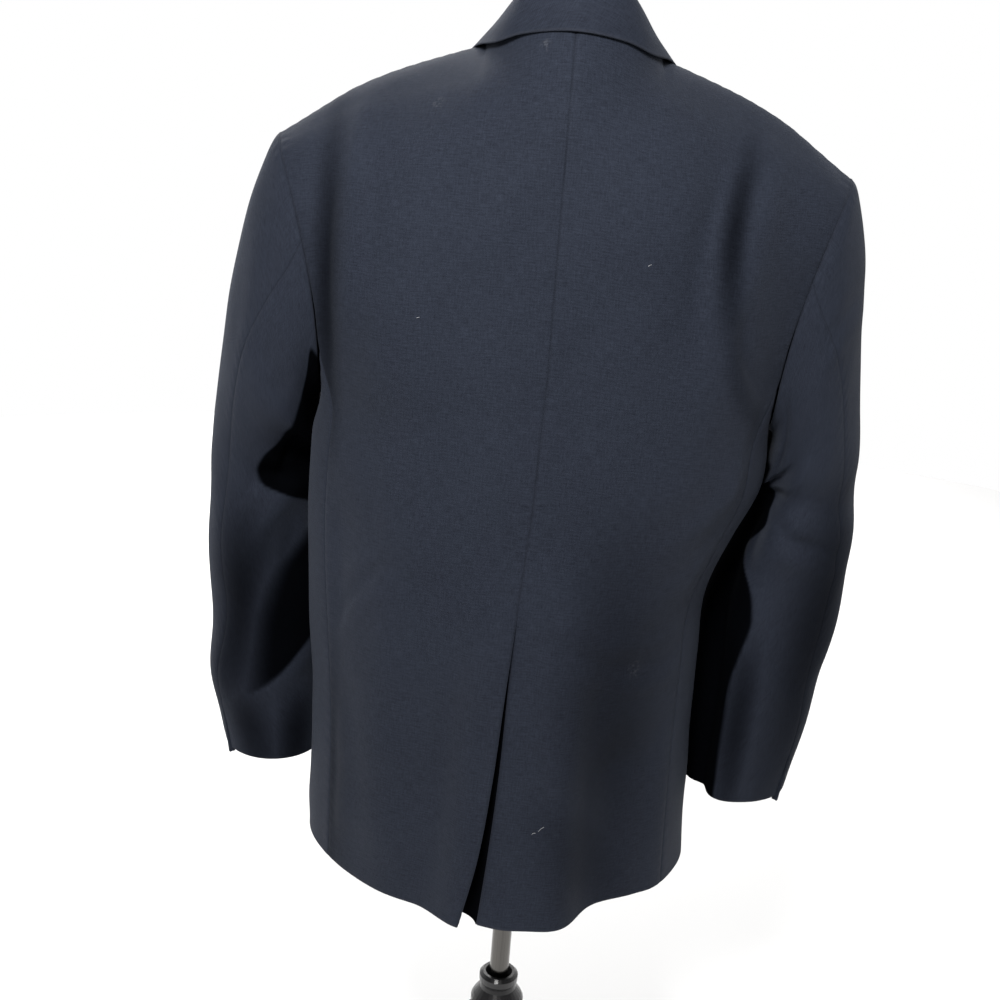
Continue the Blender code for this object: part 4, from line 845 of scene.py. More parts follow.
def shell(name, grid, seams, side, seed, rough, shade):
    """A piece of cloth on a grid: uneven like worn cloth, drawn in and puckered along its seams,
    turned in there, and rounded along its free edges. Returns the object and its cut: width,
    length and area, measured before the seams are turned in."""
    away = distances(grid)
    shade = np.zeros(grid.shape[:2]) if shade is None else shade
    width, length = float(away["left"][:, -1].max()), float(away["foot"][-1].max())
    cell = np.cross(np.diff(grid, axis=1)[:-1], np.diff(grid, axis=0)[:, :-1])
    area = min(float(np.linalg.norm(cell, axis=-1).sum()), width * length)
    face = normals(grid)
    lift = undulation(away["left"], away["foot"], seed, rough)
    to_seam, to_edge = np.full(grid.shape[:2], FAR), np.full(grid.shape[:2], FAR)
    for edge, gap in away.items():
        if edge in seams:
            run = away["foot"] if edge in ("left", "right") else away["left"]
            drift = PUCKER["swing"] * np.sin(run / PUCKER["drift"] + seed)
            ripple = PUCKER["height"] * np.sin(2 * math.pi * run / PUCKER["length"] + drift)
            lift *= 1 - np.exp(-(gap / SEAM_CALM) ** 2)
            lift -= SEAM_DIP * np.exp(-(gap / SEAM_REACH) ** 2)
            lift += ripple * np.exp(-(gap / PUCKER["off"] - 1) ** 2)
            to_seam = np.minimum(to_seam, gap)
        else:
            lift *= 1 - 0.6 * np.exp(-(gap / EDGE_CALM) ** 2)
            to_edge = np.minimum(to_edge, gap)
    grid = grid + face * lift[..., None]
    round_off = np.clip(to_edge / (WALL * 0.75), 0.0, 1.0)
    half = WALL / 2 * np.sqrt(np.clip(1 - (1 - round_off) ** 2, 0.06, 1.0))
    fields = [away["left"], away["foot"], to_seam, to_edge, half, shade]
    for edge in seams:
        grid = turned_in(grid, normals(grid), edge, ALLOWANCE)
        where = {"left": ((0, 0), (2, 0)), "right": ((0, 0), (0, 2)),
                 "foot": ((2, 0), (0, 0)), "top": ((0, 2), (0, 0))}[edge]
        fields = [np.pad(field, where, mode="edge") for field in fields]
    u, v, to_seam, to_edge, half, shade = fields
    face = normals(grid)
    outer, inner = grid + face * half[..., None], grid - face * half[..., None]
    points = np.concatenate([outer.reshape(-1, 3), inner.reshape(-1, 3)])
    points = points * (side, 1, 1) + (AXIS_X, AXIS_Y, HEM)
    rows, columns = grid.shape[:2]
    index = np.arange(rows * columns).reshape(rows, columns)
    skin = np.stack([index[:-1, :-1].ravel(), index[:-1, 1:].ravel(),
                     index[1:, 1:].ravel(), index[1:, :-1].ravel()], axis=1)
    rim = np.concatenate([index[0, :], index[1:, -1], index[-1, -2::-1], index[-2:0:-1, 0]])
    after, layer = np.roll(rim, -1), rows * columns
    band = np.stack([after, rim, rim + layer, after + layer], axis=1)
    quads = np.concatenate([skin, skin[:, ::-1] + layer, band])
    thing = mesh_object(name, points, quads, made("wool", wool_recipe))
    mesh = thing.data
    uv = mesh.uv_layers.new(name="cloth")
    corner = np.empty(len(mesh.loops), np.int32)
    mesh.loops.foreach_get("vertex_index", corner)
    flat = np.stack([np.tile(u.ravel(), 2), np.tile(v.ravel(), 2)], axis=-1)
    uv.data.foreach_set("uv", flat[corner].astype(np.float32).ravel())
    # shade carries the painted shade that the wool mixes towards near-black.
    for label, field in (("to_seam", to_seam), ("to_edge", to_edge), ("shade", shade)):
        attribute = mesh.attributes.new(label, "FLOAT", "POINT")
        attribute.data.foreach_set("value", np.tile(field.ravel(), 2).astype(np.float32))
    return thing, (round(width, 3), round(length, 3), area)


def cloth(node, grid, seams, side, seed, rough=UNEVEN, shade=None):
    """A shell that stands for its solid and rides with the figure."""
    thing, (width, length, area) = shell(node + "_cloth", grid, seams, side, seed, rough, shade)
    dress(thing, "figure", node)


def cap(ring):
    """Faces across a ring of an even number of points."""
    first = np.arange(len(ring) // 2 - 1)
    return np.stack([ring[first], ring[first + 1], ring[-2 - first], ring[-1 - first]], axis=-1)


def closed_rings(index):
    """Faces joining each ring to the next, and a cap on the first and on the last."""
    after = np.roll(index, -1, axis=1)
    wall = np.stack([index[:-1], after[:-1], after[1:], index[1:]], axis=-1).reshape(-1, 4)
    return np.concatenate([wall, cap(index[0])[:, ::-1], cap(index[-1])])


def ringed(name, rings, material):
    """A closed piece on a grid of points whose rows are rings."""
    index = np.arange(rings.shape[0] * rings.shape[1]).reshape(rings.shape[:2])
    return mesh_object(name, rings, closed_rings(index), material)


def lathe(name, profile, start, end, material):
    """A turned piece: a profile of (radius, share of the way from start to end) points, closed
    at both ends by its own small radii, carried round the line from start to end."""
    profile = np.array(profile, float)
    start, way = np.array(start), np.array(end) - np.array(start)
    along = unit(way)
    aside = unit(np.cross(along, (0.3, 0.5, 0.8)))
    angle = turns(40)[:, None]
    around = aside * np.cos(angle) + np.cross(along, aside) * np.sin(angle)
    return ringed(name, (start + way * profile[:, 1:])[:, None] + profile[:, :1, None] * around,
                  material)


def tubes(name, paths, radius, material, sides=6):
    """Round threads carried along paths, each an array of points, thin at both ends."""
    points, quads, start = [], [], 0
    for path in paths:
        way = unit(np.gradient(path, axis=0))
        aside = unit(np.cross(way, (0.31, 0.22, 0.93)))
        up = np.cross(way, aside)
        angle = turns(sides)[:, None]
        taper = np.full(len(path), radius)
        taper[[0, -1]] = radius * 0.25
        ring = aside[:, None] * np.cos(angle) + up[:, None] * np.sin(angle)
        points.append((path[:, None] + taper[:, None, None] * ring).reshape(-1, 3))
        quads.append(closed_rings(start + np.arange(len(path) * sides).reshape(-1, sides)))
        start += len(path) * sides
    return mesh_object(name, np.concatenate(points), np.concatenate(quads), material)


# ---- materials ---------------------------------------------------------------------------
def arithmetic(operation, swapped=False):
    """An operator on links: one Math node, its two values in order or swapped."""
    def apply(self, other):
        return self.nodes.math(operation, *((other, self) if swapped else (self, other)))
    return apply


class Link:
    """A number in a material. An expression on it adds its Math nodes."""

    def __init__(self, nodes, socket):
        self.nodes = nodes
        self.socket = socket

    __add__ = __radd__ = arithmetic("ADD")
    __sub__ = arithmetic("SUBTRACT")
    __rsub__ = arithmetic("SUBTRACT", swapped=True)
    __mul__ = arithmetic("MULTIPLY")
    __truediv__ = arithmetic("DIVIDE")


class Nodes:
    """The node tree of one material."""

    def __init__(self, name):
        self.material = bpy.data.materials.new(name)
        self.material.use_nodes = True
        self.tree = self.material.node_tree
        self.shader = self.tree.nodes["Principled BSDF"]

    def add(self, kind, settings=None, values=None):
        """A node of a kind, its settings made first, then its sockets set or linked."""
        node = self.tree.nodes.new(kind)
        for key, value in (settings or {}).items():
            setattr(node, key, value)
        for key, value in (values or {}).items():
            self.give(node.inputs[key], value)
        return node

    def give(self, socket, value):
        """Links a socket or sets its value."""
        if isinstance(value, Link):
            self.tree.links.new(value.socket, socket)
        elif isinstance(value, bpy.types.NodeSocket):
            self.tree.links.new(value, socket)
        else:
            socket.default_value = value

    def math(self, operation, *values):
        """A Math node on numbers or links."""
        node = self.add("ShaderNodeMath", {"operation": operation}, dict(enumerate(values)))
        return Link(self, node.outputs[0])

    def attribute(self, name):
        return Link(self, self.add("ShaderNodeAttribute", {"attribute_name": name}).outputs["Fac"])

    def place(self, scale, uv=None):
        """Coordinates times a scale for each axis, from the cloth's own map or the object's."""
        if uv:
            source = self.add("ShaderNodeUVMap", {"uv_map": uv}).outputs[0]
        else:
            source = self.add("ShaderNodeTexCoord").outputs["Object"]
        return self.add("ShaderNodeMapping", None, {"Vector": source, "Scale": scale}).outputs[0]

    def noise(self, scale, detail=3.0, rough=0.55, uv=None):
        """Noise on coordinates times a scale, one number or one for each axis."""
        scale = scale if isinstance(scale, tuple) else (scale,) * 3
        node = self.add("ShaderNodeTexNoise", None,
                        {"Vector": self.place(scale, uv), "Scale": 1.0, "Detail": detail,
                         "Roughness": rough})
        return Link(self, node.outputs["Fac"])

    def between(self, value, low, high):
        """0 below low and 1 above high, level at both ends."""
        node = self.add("ShaderNodeMapRange", {"interpolation_type": "SMOOTHSTEP"},
                        {"Value": value, "From Min": low, "From Max": high})
        return Link(self, node.outputs[0])

    def mix(self, share, *colours):
        """A colour between two colours, each a socket or three numbers."""
        node = self.add("ShaderNodeMix", {"data_type": "RGBA"}, {"Factor": share})
        for socket, colour in zip((6, 7), colours):
            is_socket = isinstance(colour, bpy.types.NodeSocket)
            self.give(node.inputs[socket], colour if is_socket else (*colour, 1.0))
        return node.outputs[2]

    def bump(self, height, distance, strength):
        return self.add("ShaderNodeBump", None, {"Height": height, "Distance": distance,
                                                 "Strength": strength}).outputs[0]

    def hide(self, share, colour):
        """Paints shade: mixes the material, by share, with a matt one of the shade's colour, without a
        sheen.
        """
        matt = self.add("ShaderNodeBsdfPrincipled", None,
                        {"Base Color": (*colour, 1.0), "Roughness": 1.0, "Specular IOR Level": 0.0})
        both = self.add("ShaderNodeMixShader", None,
                        {0: share, 1: self.shader.outputs[0], 2: matt.outputs[0]})
        self.give(self.tree.nodes["Material Output"].inputs["Surface"], both.outputs[0])

    def finish(self, **sockets):
        for name, value in sockets.items():
            self.give(self.shader.inputs[name.replace("_", " ")], value)
        return self.material


def made(name, recipe):
    """A material by name, made by its recipe the first time it is asked for."""
    found = bpy.data.materials.get(name)
    return found or recipe(Nodes(name))


# How much each unevenness of the weave counts in its tone
GRAIN = {"weft": 1.3, "warp": 1.0, "fleck": 1.3, "over": 0.22, "slow": 0.45}
DUST_MARKS = (
    # place (x, y, z) from the hem and the pole, reach, share
    ((-0.095, 0.101, 0.240), 0.013, 0.30),
    ((0.022, 0.090, 0.739), 0.007, 0.30),
    ((0.102, 0.074, 0.690), 0.008, 0.28),
    ((0.190, 0.045, 0.070), 0.014, 0.35),
    ((0.150, 0.080, 0.100), 0.010, 0.20),
)


def wool_recipe(nodes):
    """Plain-weave wool suiting: crossing threads of two near navies, uneven in thickness, slow
    mottling, a little lighter where edges are pressed, chalk and dust in a few places, painted
    shade a little darker along the seams, and painted shade all but black deep in a hollow."""
    look = bpy.context.scene.blazer_cloth

    def cloth_noise(u, v, detail, rough=0.55):
        return nodes.noise((u, v, 1.0), detail, rough, "cloth")

    uv = nodes.add("ShaderNodeUVMap", {"uv_map": "cloth"}).outputs[0]
    axes = nodes.add("ShaderNodeSeparateXYZ", None, {0: uv})
    wander = cloth_noise(260.0, 260.0, 2.0)
    u = Link(nodes, axes.outputs[0]) / look.thread_pitch + (wander - 0.5) * 1.1
    v = Link(nodes, axes.outputs[1]) / look.thread_pitch + (wander - 0.5) * 0.9
    warp, weft = (nodes.math("SINE", way * math.pi) for way in (u, v))
    over = nodes.between(warp * weft, -0.25, 0.25)
    thread = over * nodes.math("ABSOLUTE", warp) + (1 - over) * nodes.math("ABSOLUTE", weft)
    slub_weft = cloth_noise(95.0, 900.0, 3.0, 0.6)
    slub_warp = cloth_noise(900.0, 95.0, 3.0, 0.6)
    fleck = cloth_noise(620.0, 620.0, 4.0, 0.7)
    slow = nodes.noise(9.0)
    grain = ((slub_weft - 0.5) * GRAIN["weft"] + (slub_warp - 0.5) * GRAIN["warp"]
             + (fleck - 0.5) * GRAIN["fleck"] + (over - 0.5) * GRAIN["over"]
             + (slow - 0.5) * GRAIN["slow"])
    shade = nodes.math("MINIMUM", nodes.math("MAXIMUM", grain * look.grain + 0.5, 0.0), 1.0)
    colour = nodes.mix(shade, look.dark_thread, look.light_thread)
    # Painted shade a little darker in the seams' ditches.
    seam = 1 - nodes.between(nodes.attribute("to_seam"), 0.0002, 0.0022)
    colour = nodes.mix(seam * 0.22, colour, look.seam_shade_colour)
    edge = 1 - nodes.between(nodes.attribute("to_edge"), 0.0004, 0.0032)
    colour = nodes.mix(edge * 0.08, colour, look.dust_colour)
    here = nodes.add("ShaderNodeTexCoord").outputs["Object"]
    spots = []
    for (x, y, z), reach, share in DUST_MARKS:
        offset = nodes.add("ShaderNodeVectorMath", {"operation": "DISTANCE"},
                           {0: here, 1: (AXIS_X + x, AXIS_Y + y, HEM + z)})
        away = Link(nodes, offset.outputs["Value"])
        spots.append((1 - nodes.between(away, reach * 0.2, reach)) * share)
    broken = nodes.between(nodes.noise(330.0, 4.0, 0.7), 0.46, 0.66)
    dust = nodes.math("MINIMUM", sum(spots[1:], spots[0]) * broken, 0.9)
    colour = nodes.mix(dust, colour, look.dust_colour)
    relief = thread * 0.55 + (slub_weft + slub_warp) * 0.8 + cloth_noise(1500.0, 1500.0, 2.0) * 0.35
    # Painted shade: the shade attribute mixes the cloth towards a matt near-black.
    sunk = nodes.between(nodes.attribute("shade"), 0.05, 0.85)
    nodes.hide(sunk * 0.97, look.painted_shade_colour)
    return nodes.finish(Base_Color=colour, Roughness=0.84 + (fleck - 0.5) * 0.16,
                        Normal=nodes.bump(relief, 0.00022, 0.55), Sheen_Weight=0.05,
                        Sheen_Roughness=0.45, Sheen_Tint=(0.55, 0.62, 0.78, 1.0),
                        Specular_IOR_Level=0.14)


def plastic_recipe(colour, rough, grain, depth):
    """Black moulded plastic: a fine moulded grain and slow patches of polish."""
    def recipe(nodes):
        fine, slow = nodes.noise(grain), nodes.noise(24.0, 2.0)
        tone = nodes.mix(slow, tuple(c * 0.8 for c in colour), tuple(c * 1.3 for c in colour))
        return nodes.finish(Base_Color=tone, Roughness=rough + (slow - 0.5) * 0.12,
                            Normal=nodes.bump(fine, depth, 0.4))
    return recipe


def steel_recipe(nodes):
    """Drawn steel tube: long fine scratches along its length, a few rings of handling marks."""
    long, ring = nodes.noise((1400.0, 1400.0, 9.0)), nodes.noise((60.0, 60.0, 900.0), 2.0)
    tone = nodes.mix(long, (0.070, 0.067, 0.063), (0.150, 0.145, 0.137))
    rough = 0.20 + (long - 0.5) * 0.16 + (ring - 0.5) * 0.08
    return nodes.finish(Base_Color=tone, Roughness=rough, Metallic=1.0,
                        Normal=nodes.bump(long, 0.00003, 0.35))


def rubber_recipe(nodes):
    """Matt rubber with a fine pebbled grain."""
    grain = nodes.noise(700.0)
    tone = nodes.mix(grain, (0.008, 0.008, 0.008), (0.018, 0.018, 0.017))
    return nodes.finish(Base_Color=tone, Roughness=0.74 + (grain - 0.5) * 0.2,
                        Normal=nodes.bump(grain, 0.0002, 0.5))


def thread_recipe(nodes):
    """Twisted sewing thread: fine slanting bands."""
    band = nodes.add("ShaderNodeTexWave", {"wave_type": "BANDS", "bands_direction": "DIAGONAL"},
                     {"Vector": nodes.place((1.0, 1.0, 1.0)), "Scale": 900.0})
    twist = Link(nodes, band.outputs["Fac"])
    tone = nodes.mix(twist, (0.010, 0.011, 0.016), (0.030, 0.033, 0.045))
    return nodes.finish(Base_Color=tone, Roughness=0.7 + (twist - 0.5) * 0.1,
                        Normal=nodes.bump(twist, 0.0001, 0.4))


def lint_recipe(nodes):
    """Pale lint fibres."""
    tone = nodes.mix(nodes.noise(900.0, 2.0), (0.16, 0.165, 0.18), (0.40, 0.41, 0.43))
    return nodes.finish(Base_Color=tone, Roughness=0.9)


def floor_recipe(nodes):
    """Plain pale paper floor with a barely uneven tone."""
    tone = nodes.mix(nodes.noise(0.8, 2.0), (0.83, 0.83, 0.83), (0.87, 0.87, 0.87))
    return nodes.finish(Base_Color=tone, Roughness=0.85)


# ---- settings ----------------------------------------------------------------------------
LENGTH = {"subtype": "DISTANCE", "unit": "LENGTH"}
ANGLE = {"subtype": "ANGLE", "unit": "ROTATION"}


def number_setting(name, description, value, **kind):
    """A number of a property group."""
    return bpy.props.FloatProperty(name=name, description=description, default=value, **kind)


def colour_setting(name, description, value):
    """A colour of a property group."""
    return bpy.props.FloatVectorProperty(name=name, description=description, default=value,
                                         subtype="COLOR")


class BlazerCloth(bpy.types.PropertyGroup):
    thread_pitch: number_setting("Thread pitch", "Spacing of the threads", 0.00062, min=0.0001, **LENGTH)
    grain: number_setting("Grain", "How much the threads differ in tone", 0.85)
    dark_thread: colour_setting("Dark thread", "Colour of the darker threads", (0.0064, 0.0083, 0.0145))
    light_thread: colour_setting("Light thread", "Colour of the lighter threads", (0.0222, 0.0276, 0.0425))
    # The next two are colours of painted shade: deep in a hollow, and in a seam's ditch.
    painted_shade_colour: colour_setting("Hollow", "Colour deep in a hollow", (0.0006, 0.0007, 0.0010))
    seam_shade_colour: colour_setting("Seam", "Colour in the depth of a seam", (0.0060, 0.0068, 0.0100))
    dust_colour: colour_setting("Dust", "Colour of chalk and dust", (0.120, 0.125, 0.140))


class BlazerStage(bpy.types.PropertyGroup):
    lens: number_setting("Lens", "Focal length of the camera", 50.83, subtype="DISTANCE_CAMERA")
    pitch: number_setting("Pitch", "How far the camera looks down", math.radians(17.4), **ANGLE)
    roll: number_setting("Roll", "How far the camera is rolled", math.radians(4.7), **ANGLE)
    distance: number_setting("Distance", "Camera behind the pole", 1.208, **LENGTH)
    height: number_setting("Height", "Camera above the hem", 0.733, **LENGTH)
    shift: number_setting("Shift", "Sideways shift, as a share of the frame", -0.038)


# ---- operators ---------------------------------------------------------------------------
class BLAZER_OT_backs(bpy.types.Operator):
    """The two back halves and the vent's underlap"""
    bl_idname = "blazer.backs"
    bl_label = "Backs"

    def execute(self, context):
        length, width, seed = PIECES["back"]
        levels = LOW_HEIGHTS[0] + (NECK_BACK[1] - LOW_HEIGHTS[0]) * spaced(length)
        for side, word in SIDES:
            grid = back_surface(side, spaced(width), levels)
            # Painted shade on each back half, in the lee of its drapes and towards the hem.
            _, shade = hollow(grid[..., 0], grid[..., 2], BACK_PAINTED_SHADE, side)
            cloth("back_" + word, grid, ("left", "right", "top"), side,
                  seed + side, shade=shade)
        length, width, seed = PIECES["underlap"]
        grid = underlap_surface(spaced(width), len(spaced(length, fine=())))
        # The underlap is painted in full shade, all but black.
        cloth("vent_underlap", grid, (), -1, seed, CALM,
              np.ones(grid.shape[:2]))
        return {"FINISHED"}


class BLAZER_OT_sides(bpy.types.Operator):
    """The side bodies under the arms"""
    bl_idname = "blazer.sides"
    bl_label = "Side bodies"

    def execute(self, context):
        length, width, seed = PIECES["side"]
        levels = LOW_HEIGHTS[0] + (JUNCTION - LOW_HEIGHTS[0]) * spaced(length)
        for side, word in SIDES:
            grid = side_surface(side, spaced(width), levels)
            cloth("side_" + word, grid, ("left", "right", "top"),
                  side, seed + side)
        return {"FINISHED"}


class BLAZER_OT_fronts(bpy.types.Operator):
    """The fronts and their lapels"""
    bl_idname = "blazer.fronts"
    bl_label = "Fronts and lapels"

    def execute(self, context):
        length, width, seed = PIECES["front"]
        lapel_length, lapel_width, lapel_seed = PIECES["lapel"]
        levels = LOW_HEIGHTS[0] + (FRONT_TOP - LOW_HEIGHTS[0]) * spaced(length)
        for side, word in SIDES:
            grid = front_surface(side, spaced(width), levels)
            cloth("front_" + word, grid, ("left", "top"), side, seed + side)
            grid = lapel_surface(side, spaced(lapel_width), spaced(lapel_length))
            cloth("lapel_" + word, grid, (), side,
                  lapel_seed + side, CALM)
        return {"FINISHED"}


class BLAZER_OT_collar(bpy.types.Operator):
    """The collar: stand, fold and fall in one"""
    bl_idname = "blazer.collar"
    bl_label = "Collar"

    def execute(self, context):
        length, width, seed = PIECES["collar"]
        grid = collar_surface(1 - 2 * spaced(length), spaced(width, COLLAR_PITCH))
        cloth("collar", grid, (), 1, seed, CALM)
        return {"FINISHED"}


class BLAZER_OT_sleeves(bpy.types.Operator):
    """The two-piece sleeves"""
    bl_idname = "blazer.sleeves"
    bl_label = "Sleeves"

    def execute(self, context):
        for side, word in SIDES:
            for piece, first, last, held_by in (
                    ("topsleeve", FORE_SEAM_FRONT, HIND_SEAM, ("back", "front")),
                    ("undersleeve", HIND_SEAM, FORE_SEAM_BACK, ("topsleeve",))):
                length, width, seed = PIECES[piece]
                along = spaced(length)
                grid, shade = sleeve_surface(side, first, last, spaced(width), along)
                if piece == "topsleeve":
                    grid = cuff_corner(grid, along)
                cloth(f"{piece}_{word}", grid, ("left", "right", "foot"),
                      side, seed + side,
                      shade=shade)
        return {"FINISHED"}


class BLAZER_OT_buttons(bpy.types.Operator):
    """Four-hole buttons, their thread and their buttonholes"""
    bl_idname = "blazer.buttons"
    bl_label = "Buttons"

    def execute(self, context):
        for name in ("button_upper", "button_lower"):
            low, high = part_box(name)
            x, z = (low.x + high.x) / 2, (low.z + high.z) / 2
            back, face = high.y, low.y
            dress(button_mesh(name + "_turned", x, z, back, face), "figure", name)
            hole = math.sqrt(0.5) * BUTTON_HOLE_RING
            arch = np.linspace(0, math.pi, 13)
            depth = face + THREAD["sunk"] - THREAD["arch"] * np.sin(arch)
            lines = [np.stack([x + hole * np.cos(arch), depth, np.full_like(arch, z + row * hole)],
                              axis=-1) for row in (-1, 1)]
            slit = np.linspace(0, 2 * math.pi, 61)
            lines.append(np.stack([x + BUTTONHOLE["aside"] - BUTTONHOLE["half"] * np.cos(slit),
                                   np.full_like(slit, back + BUTTONHOLE["off"]),
                                   z + BUTTONHOLE["gap"] * np.sin(slit)], axis=-1))
            thread = tubes(name + "_thread", lines, THREAD["radius"], made("thread", thread_recipe))
            dress(thread, "figure")
        return {"FINISHED"}


def button_mesh(name, x, z, back, face):
    """A turned button: rings out to a rounded rim, over to its back. The four holes are dents
    in the height of the rings, as deep as bells of the distance from each hole's centre."""
    thick = back - face
    rings = np.concatenate([np.linspace(0.0, 0.0056, 24), np.linspace(0.0060, BUTTON_RADIUS, 16)])
    dish = 0.0010 * (1 - smooth_step(0.0062, 0.0080, rings))
    rim = 0.0013 * smooth_step(0.0094, BUTTON_RADIUS, rings) ** 2
    angle = turns(72)
    px, pz = rings[:, None] * np.cos(angle), rings[:, None] * np.sin(angle)
    depth = np.broadcast_to((dish + rim)[:, None], px.shape).copy()
    for quarter in range(4):
        turn = math.radians(45 + 90 * quarter)
        gap = np.hypot(px - BUTTON_HOLE_RING * math.cos(turn), pz - BUTTON_HOLE_RING * math.sin(turn))
        depth += (thick * 0.6) * (1 - smooth_step(BUTTON_HOLE * 0.7, BUTTON_HOLE * 1.15, gap))
    front = np.stack([x + px, face + depth, z + pz], axis=-1)
    around = np.stack([np.cos(angle), 0 * angle, np.sin(angle)], axis=-1)
    rear = np.array([(x, back - thick * 0.35, z), (x, back, z), (x, back, z)])[:, None]
    rear = rear + np.array([BUTTON_RADIUS * 0.97, BUTTON_RADIUS * 0.8, 0.0004])[:, None, None] * around
    grid = np.concatenate([front, rear])
    grid[0] = (x, face + 0.0010, z) + around * 0.00002
    return ringed(name, grid, made("button", plastic_recipe((0.012, 0.012, 0.015), 0.30, 900.0,
                                                            0.00005)))


class BLAZER_OT_form(bpy.types.Operator):
    """The limbless dress form"""
    bl_idname = "blazer.form"
    bl_label = "Form"

    def execute(self, context):
        table = np.array(FORM)
        heights = np.linspace(table[0, 0], table[-1, 0], 170)
        width, back, front, mid = through(table[:, 0], table[:, 1:], heights).T[:, :, None]
        shrink = 1 - FORM_GAP / width
        to_end = np.clip(np.minimum(heights - heights[0], heights[-1] - heights) / FORM_ROUND, 0, 1)
        inset = FORM_ROUND * (1 - np.sqrt(1 - (1 - to_end) ** 2))[:, None]
        angle = turns(128)
        x = (width * shrink - inset) * bent(np.cos(angle), FORM_POWER)
        depth = np.where(np.sin(angle) > 0, back, front) * shrink - inset
        y = mid + depth * bent(np.sin(angle), FORM_POWER)
        wall = np.stack([x, y, np.broadcast_to(heights[:, None], x.shape)], axis=-1)
        shares = np.linspace(0.02, 0.97, 9)[:, None, None]
        low, high = ((0.0, mid[end, 0], heights[end]) for end in (0, -1))
        floor = low + (wall[:1] - low) * shares
        roof = high + (wall[-1:] - high) * shares[::-1]
        form = ringed("form_shell", np.concatenate([floor, wall, roof]) + (AXIS_X, AXIS_Y, HEM),
                      made("form_black", plastic_recipe((0.014, 0.014, 0.015), 0.52, 420.0,
                                                        0.00012)))
        dress(form, "figure", "form")
        return {"FINISHED"}


class BLAZER_OT_stand(bpy.types.Operator):
    """The finishes of the pole, the hub, the legs and the feet, with sockets and boots"""
    bl_idname = "blazer.stand"
    bl_label = "Stand"

    def execute(self, context):
        black = made("stand_black", plastic_recipe((0.012, 0.012, 0.013), 0.26, 700.0, 0.00004))
        rubber = made("rubber", rubber_recipe)
        finishes = {"pole": made("steel", steel_recipe), "hub": black, "socket_plate": black}
        for number in (1, 2, 3):
            finishes[f"leg_{number}"] = black
            finishes[f"foot_{number}"] = rubber
        for node, material in finishes.items():
            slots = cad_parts[node].material_slots
            if not slots:
                raise RuntimeError(f"{node} has no material slot")
            for place in slots:
                place.material = material
        foot = np.array([LEG_SPREAD, 0.0, LEG_FOOT])
        top = np.array([LEG_INNER, 0.0, LEG_TOP])
        leg = unit(foot - top)
        for number in (1, 2, 3):
            turn = math.radians(150 + 120 * number)
            cosine, sine = math.cos(turn), math.sin(turn)
            spin = np.array([[cosine, -sine, 0], [sine, cosine, 0], [0, 0, 1]])
            for piece, profile, end, (before, past), material, slot in (
                    ("boot", BOOT, foot, BOOT_REACH, rubber, "foot_rubber"),
                    ("leg_socket", SOCKET, top, SOCKET_REACH, black, "stand_plastic")):
                ends = [(AXIS_X, AXIS_Y, 0.0) + spin @ (end + leg * reach)
                        for reach in (-before, past)]
                dress(lathe(f"{piece}_{number}", profile, *ends, material), "base")
        return {"FINISHED"}


LINT = (
    # place (x, y, z), length, turn in degrees, curl
    ((-0.071, 0.1305, 0.586), 0.0036, 150.0, 0.2),
    ((-0.273, 0.0095, 0.386), 0.0050, 75.0, 0.4),
    ((0.104, 0.1265, 0.531), 0.0030, -20.0, 0.3),
    ((-0.026, 0.1355, 0.098), 0.0075, 130.0, 0.4),
    ((-0.020, 0.1345, 0.093), 0.0040, 150.0, 0.8),
)
LINT_RADIUS, LINT_OFF = 0.00018, 0.0002


class BLAZER_OT_lint(bpy.types.Operator):
    """A few fibres of lint, each laid on the cloth's points nearest to its ends and middle"""
    bl_idname = "blazer.lint"
    bl_label = "Lint"

    def execute(self, context):
        fields = {"co": [], "normal": []}
        for name in ("back_left_cloth", "back_right_cloth", "undersleeve_right_cloth"):
            vertices = bpy.data.objects[name].data.vertices
            for field, rows in fields.items():
                values = np.empty(len(vertices) * 3, np.float32)
                vertices.foreach_get(field, values)
                rows.append(values.reshape(-1, 3))
        points, faces = (np.concatenate(rows) for rows in fields.values())
        paths = []
        for place, length, turn, curl in LINT:
            part = np.linspace(-0.5, 0.5, 11)
            angle = math.radians(turn) + curl * part * 1.6
            step = np.stack([np.cos(angle), 0 * angle, np.sin(angle)], -1) * length / 10
            route = np.cumsum(step, axis=0)
            route += np.array(place) + (AXIS_X, AXIS_Y, HEM) - route.mean(0)
            near = np.array([((points - spot) ** 2).sum(1).argmin() for spot in route[::5]])
            near = near[[0, 0, 0, 1, 1, 1, 1, 1, 2, 2, 2]]
            off = ((route - points[near]) * faces[near]).sum(1, keepdims=True)
            paths.append(route + faces[near] * (LINT_OFF - off))
        dress(tubes("lint", paths, LINT_RADIUS, made("lint", lint_recipe)), "figure")
        return {"FINISHED"}


FLOOR_RADIUS = 3.4
WORLD_BRIGHT, WORLD_DIM = 1.0, 0.24      # the studio behind the blazer, and behind the camera
WORLD_TURN = (-0.45, 0.25)               # where along Y the one turns into the other
LIGHTS = (
    # name, place, aim, size, watts, colour
    ("key", (0.20, 1.30, 2.00), (0.02, 0.13, 1.00), 0.5, 40.0, (1.0, 0.99, 0.975)),
    ("front", (1.0, -2.6, 2.7), (0.0, -1.7, 0.2), 1.8, 110.0, (1.0, 0.99, 0.98)),
)


